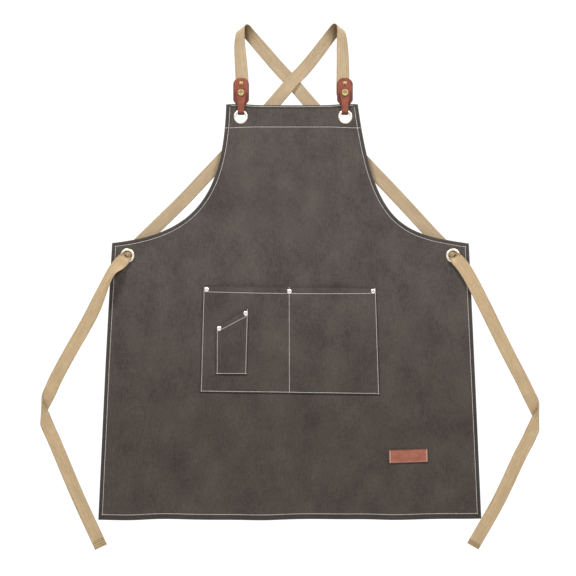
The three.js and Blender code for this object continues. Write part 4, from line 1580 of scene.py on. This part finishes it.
@dataclass
class Tie:
    """The webbing's free end: out of the side eyelet, down and outwards, turned over once."""

    side: Side
    width: float = 25.4 * MM
    thickness: float = 1.6 * MM
    step: float = 2.2 * MM
    fold_radius: float = 2.4 * MM
    loose_fold: float = 2.8 * MM
    hem_row_shares: tuple[float, ...] = (0.22, 0.55, 0.86)
    lean_degrees: float = 40.0
    pinch_degrees: float = 58.0
    cup_degrees: float = 112.0
    hem_swell: float = 0.75

    @property
    def hem(self) -> float:
        """Depth of the doubled end, which the two ends do not share."""
        return (14.0 if self.side is Side.LEFT else 8.5) * MM

    @property
    def hem_rows(self) -> tuple[float, ...]:
        """How far from the end each thread line of the doubled end runs."""
        return tuple(self.hem * share for share in self.hem_row_shares)

    @property
    def fold(self) -> tuple[Points, Points, Points]:
        """A point on the fold, the direction outwards from it and the direction down it, as (x, z)."""
        place, lean = (((-484.8, -749), 4.2) if self.side is Side.LEFT else ((477.4, -760), 1.4))
        own, turn = self.side.value, math.radians(lean)
        outwards = np.array([own * math.cos(turn), math.sin(turn)])
        return np.array(place) * MM, outwards, np.array([own * math.sin(turn), -math.cos(turn)])

    def route(self) -> Route:
        """The middle line as it would lie with the fold opened out, from the eyelet to the free end."""
        if self.side is Side.LEFT:
            above = [
                (-321, 0.0, -447.5), (-326, -3.6, -453), (-337, -4.6, -465.5), (-350.5, -5.6, -488),
                (-365, -6.3, -516), (-381.5, -7.0, -546), (-402.5, -7.8, -585), (-429.5, -8.5, -632),
                (-460.4, -9.5, -690), (-472.5, -10, -717)]
            below = [
                (-472.2, -4.5, -786), (-463.0, -4.8, -806), (-450.2, -4.9, -836), (-413.2, -4.4, -924),
                (-371.2, -3.8, -1015)]
        else:
            above = [
                (314, 0.0, -447.5), (319, -3.4, -453), (330, -4.2, -465), (344, -5.2, -486), (374, -7.0, -544),
                (417, -8.5, -632), (447, -9.5, -690), (462.0, -10, -721)]
            below = [
                (466.6, -4.6, -790), (458.8, -4.8, -807), (443, -4.9, -837), (402, -4.4, -924),
                (351.5, -3.8, -1013)]
        place, outwards, down = self.fold
        spots = np.array(below, float) * MM
        flat = spots[:, [0, 2]] - place
        past = math.pi * self.fold_radius - flat @ outwards
        opened = place + np.outer(past, outwards) + np.outer(flat @ down, down)
        spots[:, [0, 2]] = opened
        return Route(np.vstack([np.array(above, float) * MM, spots]))

    def folded(self, points: Points, level: Points) -> Points:
        """Lays the opened-out webbing over its fold.

        Args:
            points: places on the opened-out webbing.
            level: y of the middle line beside each of them.

        Returns:
            The same places with what lies past the fold rolled over to the front, loosely at the top.
        """
        place, outwards, down = self.fold
        flat = points[..., [0, 2]] - place
        past, low = flat @ outwards, flat @ down
        extra = self.loose_fold * (1 - ease(low, -22 * MM, 4 * MM))
        radius = self.fold_radius + extra
        past = past + extra
        depth = points[..., 1] - level
        turn = np.clip(past / radius, 0.0, np.pi)
        beyond = np.maximum(past - np.pi * radius, 0.0)
        reach = np.minimum(past, 0.0) - extra + (radius + depth) * np.sin(turn) - beyond
        moved = points.copy()
        moved[..., [0, 2]] = place + reach[..., None] * outwards + low[..., None] * down
        moved[..., 1] = level - radius + (radius + depth) * np.cos(turn)
        return moved

    def band(self) -> tuple[Band, Route]:
        """The opened-out webbing with its gathered start and doubled end, and its middle line."""
        route = self.route()
        even = np.arange(0.0, route.length - 16 * MM, self.step)
        s = np.concatenate([even, np.linspace(route.length - 15.5 * MM, route.length, 34)])
        count = len(s)
        middle = route.at(s)
        along = unit(np.gradient(middle, axis=0))
        across = unit(np.cross(along, np.array([[0.0, 1.0, 0.0]])))
        out = np.cross(along, across)
        if self.side is Side.LEFT:
            share = ease(s, 16 * MM, 48 * MM) * (1 - ease(s, 52 * MM, 145 * MM))
            lean = np.radians(self.lean_degrees) * share
            middle = middle - across * (3.4 * MM * share)[:, None] + out * (6.2 * MM * share)[:, None]
            across = across * np.cos(lean)[:, None] + out * np.sin(lean)[:, None]
            out = np.cross(along, across)
        gather = 1 - ease(s, 1.5 * MM, 15 * MM)
        ahead = route.length - s
        doubled = ease(-ahead, -self.hem - 0.5 * MM, -self.hem + 0.8 * MM)
        thickness = self.thickness * (1 + self.hem_swell * doubled)
        loose = ease(s, 40 * MM, 120 * MM)
        pinch = self.pinch_degrees * share if self.side is Side.LEFT else 0.0
        cup = gather * self.cup_degrees + 5.0 * np.sin(s / (61 * MM)) * loose + pinch
        middle = middle + out * (0.5 * MM * np.sin(s / (33 * MM)) * loose)[:, None]
        return Band(middle, across, np.full(count, self.width), thickness, cup, 25), route

    def lay(self, band: Band, cloth: Cloth) -> Cloth:
        """Folds a finished band over, with painted shade in the fold, in the eyelet hole and in the doubled end's
        grooves.
        """
        around = len(cloth.corners) // len(band.middle)
        level = np.repeat(band.middle[:, 1], around)
        place, outwards, down = self.fold
        flat = cloth.corners[:, [0, 2]] - place
        past, low = flat @ outwards, flat @ down
        front = cloth.corners[:, 1] < level
        deep = ease(low, -26 * MM, 8 * MM)
        # Painted shade in the fold: the upper layer's front darkens towards the turn.
        tie_fold_shade = 0.85 * ease(past, -15 * MM, 0.5 * MM) * (1 - ease(past, 2 * MM, 6 * MM)) * front * deep
        # Painted shade on the tie's start inside the eyelet hole.
        inside = 0.3 * (1 - ease(cloth.uv[:, 1], 3 * MM, 9 * MM))
        ahead = cloth.uv[:, 1].max() - cloth.uv[:, 1]
        # Painted shade in the grooves along the doubled end's thread lines and its step.
        lines = sum(bump(ahead, inset, 0.9 * MM) for inset in (*self.hem_rows, self.hem + 1 * MM))
        tones = {**cloth.tones, "shade": np.maximum.reduce([tie_fold_shade, inside, 0.5 * lines])}
        return Cloth(self.folded(cloth.corners, level), cloth.faces, cloth.uv, tones)

    def hem_paths(self, band: Band) -> list[Points]:
        """Three thread lines across the doubled end, on both faces."""
        paths = []
        total = np.concatenate([[0.0], np.cumsum(np.linalg.norm(np.diff(band.middle, axis=0), axis=1))])
        share = np.linspace(-0.9, 0.9, 9)
        for inset in self.hem_rows:
            i = int(np.argmin(np.abs(total - (total[-1] - inset))))
            for through in (-1.0, 1.0):
                line = band.surface(share, np.full(9, through))[i]
                paths.append(self.folded(line, np.full(9, band.middle[i, 1])))
        return paths

    def build(self, looks: Finishes, stitches: Tree) -> None:
        word = self.side.word
        band, route = self.band()
        piece = self.lay(band, band.cloth()).piece(f"{word}_tie_webbing", looks.tie, 50.0)
        outward(piece)
        settle(piece, f"{word}_tie", [f"{word}_tie"])
        thread = sew(f"{word}_tie_stitches", self.hem_paths(band), looks.tie_thread, stitches, 3.0)
        settle(thread, f"{word}_tie")
        flat_path = route.at(np.linspace(0.0, route.length, 90))
        path = self.folded(flat_path, flat_path[:, 1])


@dataclass
class LeatherTab:
    """One leather strip folded through its eyelet: paddle behind, tongue in front, snapped together."""

    side: Side
    paddle_top: float = -101 * MM
    paddle_width: float = 31 * MM
    neck: float = 16 * MM
    fold_width: float = 12.4 * MM
    tongue_width: float = 21.5 * MM
    snap_z: float = -130.6 * MM
    rivet_z: float = -111.5 * MM
    fold_z: float = -169.3 * MM
    front_y: float = -3.4 * MM
    back_y: float = 3.3 * MM
    thickness: float = 2.0 * MM

    @property
    def x(self) -> float:
        """The tab's middle."""
        return (-99.3 if self.side is Side.LEFT else 103.3) * MM

    def paddle_width_at(self, z: Points) -> Points:
        """Width of the strip's rear part at each height."""
        corner = 13 * MM
        rise = np.clip(z - (self.paddle_top - corner), 0, corner)
        rounded = 2 * (corner - np.sqrt(np.maximum(corner**2 - rise**2, 0)))
        leg = self.fold_width + (self.neck - self.fold_width) * ease(z, self.fold_z - 1 * MM, self.fold_z + 9 * MM)
        flare = ease(z, -157 * MM, -143 * MM)
        return leg + (self.paddle_width - leg) * flare - rounded

    def tongue_width_at(self, z: Points) -> Points:
        """Width of the tongue at each height: slim at the fold, round at its end."""
        half = self.tongue_width / 2
        rise = np.clip(z - self.snap_z, 0, half)
        head = 2 * np.sqrt(np.maximum(half**2 - rise**2, 0))
        body = 14.6 * MM + (self.tongue_width - 14.6 * MM) * ease(z, -157 * MM, self.snap_z)
        slim = self.fold_width + (body - self.fold_width) * ease(z, self.fold_z - 1 * MM, self.fold_z + 5 * MM)
        return np.where(z > self.snap_z, head, slim)

    def strip(self, middle: Points, width: Points, start: float) -> Band:
        """A leather band through the given middle line."""
        across = np.tile([[1.0, 0.0, 0.0]], (len(middle), 1))
        return Band(middle, across, np.maximum(width, 3.0 * MM), np.full(len(middle), self.thickness),
                    np.full(len(middle), 1e-3), 13, start)

    def rear_strip(self) -> Band:
        """Paddle, rear leg and the hidden half of the fold, from the top down."""
        dense = self.paddle_top - 13 * MM * (1 - np.cos(np.linspace(0.10, np.pi / 2, 14)))
        leg = np.linspace(self.paddle_top - 14.5 * MM, self.fold_z, 44)
        z = np.concatenate([dense, leg])
        straight = np.stack([np.full(len(z), self.x), np.full(len(z), self.back_y), z], axis=1)
        return self.strip(np.vstack([straight, self.bend(0, 90)]), np.concatenate([
            self.paddle_width_at(z), np.full(8, self.fold_width)]), 0.0)

    def bend(self, first: float, last: float) -> Points:
        """Part of the U-bend through the eyelet, from the back (0 degrees) to the front (180)."""
        turn = np.radians(np.linspace(first, last, 9)[1:])
        radius = (self.back_y - self.front_y) / 2
        middle = (self.back_y + self.front_y) / 2
        y = middle + radius * np.cos(turn)
        return np.stack([np.full(8, self.x), y, self.fold_z - radius * np.sin(turn)], axis=1)

    def tongue_strip(self) -> Band:
        """The front half of the fold and the tongue, from the fold up."""
        top = self.snap_z + self.tongue_width / 2
        leg = np.linspace(self.fold_z + 1.2 * MM, self.snap_z, 30)
        head = self.snap_z + self.tongue_width / 2 * np.sin(np.linspace(0.06, np.pi / 2 - 0.09, 14))
        z = np.concatenate([leg, head])
        swell = -0.5 * MM * bump(z, -150 * MM, 9 * MM)
        front = np.stack([np.full(len(z), self.x), self.front_y + swell, z], axis=1)
        start = self.bend(90, 180)
        middle, radius = (self.back_y + self.front_y) / 2, (self.back_y - self.front_y) / 2
        first = np.array([[self.x, middle, self.fold_z - radius]])
        tongue = self.tongue_width_at(np.minimum(z, top - 0.02 * MM))
        width = np.concatenate([np.full(9, self.fold_width), tongue])
        return self.strip(np.vstack([first, start, front]), width, 0.07)

    def fittings(self) -> list[tuple[Fitting, str]]:
        """Rivet and snap pieces with the finish that each takes."""
        word = self.side.word
        tab, tongue = f"{word}_tab", f"{word}_tongue"
        half = self.thickness / 2
        face, inner = self.front_y - half, self.front_y + half
        paddle_face, paddle_back = self.back_y - half, self.back_y + half
        strap_back = 5.4 * MM + 0.8 * MM
        return [
            (Fitting(f"{word}_rivet_cap", TAB_RIVET, [(self.x, paddle_face, self.rivet_z)], tab, Slot.SNAP,
                     [f"{word}_tab_rivet"]), "snap"),
            (Fitting(f"{word}_rivet_back", RIVET_BURR, [(self.x, strap_back, self.rivet_z)], tab, Slot.SNAP,
                     [f"{word}_tab_burr"]), "snap"),
            (Fitting(f"{word}_snap_button", SNAP_CAP, [(self.x, face, self.snap_z)], tongue, Slot.SNAP,
                     [f"{word}_snap_cap"], 56), "snap"),
            (Fitting(f"{word}_snap_ring", SNAP_SOCKET, [(self.x, inner, self.snap_z)], tongue, Slot.SNAP,
                     [f"{word}_snap_socket"], 44), "snap"),
            (Fitting(f"{word}_snap_knob", SNAP_STUD, [(self.x, paddle_face, self.snap_z)], tab, Slot.SNAP,
                     [f"{word}_snap_stud"], 44), "snap"),
            (Fitting(f"{word}_snap_back", SNAP_POST, [(self.x, paddle_back, self.snap_z)], tab, Slot.SNAP,
                     [f"{word}_snap_post"], 44), "snap"),
        ]

    def build(self, looks: Finishes, fittings: Tree) -> None:
        """Makes the leather strip in two parts that meet in the eyelet, and its metal."""
        word = self.side.word
        rear = self.rear_strip().cloth().piece(f"{word}_paddle_leather", looks.tab, 50.0)
        outward(rear)
        settle(rear, f"{word}_tab", [f"{word}_tab_paddle"])
        strip = self.tongue_strip().cloth()
        # Painted shade where the tongue bends into the eyelet hole, drawn with the dark edge colour.
        tongue_bend_shade = 1 - ease(strip.corners[:, 2], self.fold_z + 0.5 * MM, self.fold_z + 3.0 * MM)
        strip.tones["edge"] = np.maximum(strip.tones["edge"], tongue_bend_shade)
        tongue = strip.piece(f"{word}_tongue_leather", looks.tab, 50.0)
        outward(tongue)
        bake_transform(tongue)
        register(tongue, [f"{word}_tab_tongue"])
        for fitting, look in self.fittings():
            fitting.build(fittings, getattr(looks, look))


# ---- the whole apron -----------------------------------------------------------------------------
@dataclass
class Studio:
    """Pale floor, soft lights and the level camera in front of the apron."""

    aim: Place = (-7.8 * MM, 0.0, -510.9 * MM)
    frame_width: float = 1.1232
    lens: float = 100.0
    sensor: float = 36.0
    floor_z: float = -1.42
    floor_radius: float = 1.28
    floor_corners: int = 96
    shown_strength: float = 1.1
    lit_strength: float = 0.27
    mirrored_share: float = 0.6
    lights: tuple[tuple[str, Place, float, float], ...] = (
        ("key", (-1.25, -1.4, 1.5), 0.55, 53.0),
        ("second", (1.35, -1.4, 1.4), 0.6, 48.5),
        ("back", (0.4, 2.6, 0.8), 1.8, 24.0))

    def camera(self) -> None:
        """The camera, level with the middle of the apron."""
        data = bpy.data.cameras.new("camera")
        data.lens, data.sensor_width = self.lens, self.sensor
        made = bpy.data.objects.new("camera", data)
        made.location = (self.aim[0], -self.frame_width * self.lens / self.sensor, self.aim[2])
        made.rotation_euler = (math.radians(90), 0, 0)
        bpy.context.scene.collection.objects.link(made)
        bpy.context.scene.camera = made

    def light(self, name: str, place: Place, size: float, watts: float) -> None:
        """A square soft light that looks at the middle of the apron."""
        data = bpy.data.lights.new(name, "AREA")
        data.size, data.energy = size, watts
        made = bpy.data.objects.new(name, data)
        made.location = place
        away = Vector(self.aim) - Vector(place)
        made.rotation_euler = away.to_track_quat("-Z", "Y").to_euler()
        made.visible_camera = False
        bpy.context.scene.collection.objects.link(made)

    def floor(self) -> None:
        """A round pale floor with a painted glow that grows towards its rim, so that it melts into the surround."""
        radii = np.linspace(0.1, 1.0, 10) * self.floor_radius
        count = self.floor_corners
        turns = np.linspace(0, 2 * np.pi, count, endpoint=False)
        level = np.full(count, self.floor_z)
        rings = [np.stack([r * np.cos(turns), r * np.sin(turns), level], axis=1) for r in radii]
        corners = np.vstack([*rings, [[0, 0, self.floor_z]]])
        faces = lattice(len(rings), count, closed=True)
        hub = len(corners) - 1
        faces.extend((hub, j, (j + 1) % count) for j in range(count))
        away = np.hypot(corners[:, 0], corners[:, 1]) / self.floor_radius
        shader = Shader("pale_floor")
        grain = shader.noise(shader.place(), 3.0)
        colour = shader.ramp(grain, [(0.0, (0.88, 0.88, 0.88)), (1.0, (0.92, 0.92, 0.92))])
        # Painted glow: emission that grows towards the floor's rim.
        glow = shader.ramp(shader.tone("rim"), [(0.0, (0.05, 0.05, 0.05)), (1.0, (0.75, 0.75, 0.75))])
        shader.wire(glow, shader.surface.inputs["Emission Color"])
        finish = shader.finish(colour, 0.9, Emission_Strength=1.0)
        Cloth(corners, faces, None, {"rim": ease(away, 0.3, 1.0)}).piece("floor", finish)

    def world(self) -> None:
        """An even white surround, softer as a light than it looks."""
        world = bpy.data.worlds.new("surround")
        bpy.context.scene.world = world
        world.use_nodes = True
        tree = world.node_tree
        shown, lit = tree.nodes["Background"], tree.nodes.new("ShaderNodeBackground")
        shown.inputs["Color"].default_value = (1, 1, 1, 1)
        shown.inputs["Strength"].default_value = self.shown_strength
        lit.inputs["Color"].default_value = (1, 1, 1, 1)
        lit.inputs["Strength"].default_value = self.lit_strength
        path, mix = tree.nodes.new("ShaderNodeLightPath"), tree.nodes.new("ShaderNodeMixShader")
        seen = tree.nodes.new("ShaderNodeMath")
        seen.operation = "MULTIPLY_ADD"
        seen.inputs[1].default_value = self.mirrored_share
        tree.links.new(path.outputs["Is Glossy Ray"], seen.inputs[0])
        tree.links.new(path.outputs["Is Camera Ray"], seen.inputs[2])
        tree.links.new(seen.outputs[0], mix.inputs[0])
        tree.links.new(lit.outputs[0], mix.inputs[1])
        tree.links.new(shown.outputs[0], mix.inputs[2])
        tree.links.new(mix.outputs[0], tree.nodes["World Output"].inputs[0])

    def build(self) -> None:
        """Sets up camera, floor, surround and lights."""
        self.camera()
        self.floor()
        self.world()
        for lamp in self.lights:
            self.light(*lamp)
        view = bpy.context.scene.view_settings
        view.view_transform, view.look = "Standard", "None"


@dataclass
class Apron:
    """The whole apron, built sub-assembly by sub-assembly."""

    looks: Finishes
    stitches: Tree
    fittings: Tree

    def pockets(self, panel: Panel) -> tuple[Pocket, Pocket]:
        """The wide tool pocket and the slanted pen pocket on it."""
        main = Pocket(
            "tool_pocket", "main_pocket",
            tuple((x * MM, z * MM) for x, z in (
                (-173.5, -507.8), (164.5, -511), (-179.3, -714), (171.3, -719))),
            6.8 * MM, 9 * MM, panel.face, 0.497, 10.4 * MM, 2.0 * MM)
        pen = Pocket(
            "slanted_pocket", "pen_pocket",
            tuple((x * MM, z * MM) for x, z in ((-147.5, -587.5), (-84, -550), (-148, -679), (-88, -680))),
            7.2 * MM, 10.5 * MM, main.face)
        return main, pen

    def metal(self, panel: Panel, main: Pocket, pen: Pocket) -> list[tuple[Fitting, str]]:
        """Eyelets and pocket rivets, with the finish that each takes."""
        def on(surface: Height, spots: Sequence[tuple[float, float]], lift: float) -> list[Place]:
            return [(x, float(surface(np.array(x), np.array(z))) + lift, z) for x, z in spots]

        holes = [*panel.bib_eyelets, *panel.side_eyelets]
        names = [f"{row}_{side.word}" for row in ("bib", "side") for side in Side]
        pocket_spots = [(-166.3 * MM, -513.5 * MM), (-5 * MM, -517.5 * MM), (158.5 * MM, -517 * MM)]
        pen_spots = [(-141.5 * MM, -589.5 * MM), (-90 * MM, -560 * MM)]
        pocket_names = ["pocket_left", "pocket_middle", "pocket_right"]
        pen_names = ["pen_low", "pen_high"]
        shift = 0.6 * MM
        washers = [(x, float(panel.face(np.array(x), np.array(z))) + panel.thickness
                    + float(panel.facing(np.array(z))), z) for x, z in holes]
        caps = on(main.face, pocket_spots, -0.1 * MM) + on(pen.face, pen_spots, -0.1 * MM)
        burrs = on(panel.face, pocket_spots, panel.thickness + 0.05 * MM)
        pen_burrs = on(main.face, pen_spots, main.fold + 0.1 * MM)
        return [
            (Fitting("eyelet_rings", EYELET_FACE, on(panel.face, holes, shift), "apron", Slot.EYELET,
                     [f"{n}_eyelet" for n in names], 72), "eyelet"),
            (Fitting("eyelet_washers", EYELET_WASHER, washers, "apron", Slot.EYELET,
                     [f"{n}_washer" for n in names], 72), "eyelet"),
            (Fitting("pocket_rivet_caps", RIVET_CAP, caps, "apron", Slot.RIVET,
                     [f"{n}_rivet" for n in pocket_names + pen_names]), "rivet"),
            (Fitting("pocket_rivet_burrs", RIVET_BURR, burrs + pen_burrs, "apron", Slot.RIVET,
                     [f"{n}_burr" for n in pocket_names + pen_names]), "rivet"),
        ]

    def build(self) -> None:
        """Builds every piece in order, the free ties first."""
        for side in Side:
            Tie(side).build(self.looks, self.stitches)
        panel = Panel()
        panel.build(self.looks, self.stitches)
        main, pen = self.pockets(panel)
        main.build(self.looks, self.stitches)
        pen.build(self.looks, self.stitches)
        for fitting, look in self.metal(panel, main, pen):
            fitting.build(self.fittings, getattr(self.looks, look))
        Label(panel).build(self.looks)
        for side in Side:
            ShoulderStrap(side, panel).build(self.looks)
            LeatherTab(side).build(self.looks, self.fittings)


def write_sizes() -> None:
    """Updates the view layer."""
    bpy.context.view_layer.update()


def main() -> None:
    """Builds the studio and the apron around the frame."""
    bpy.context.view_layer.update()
    Studio().build()
    Apron(Finishes(), stitch_tree(), fitting_tree()).build()
    write_sizes()


if __name__ == "__main__":
    main()
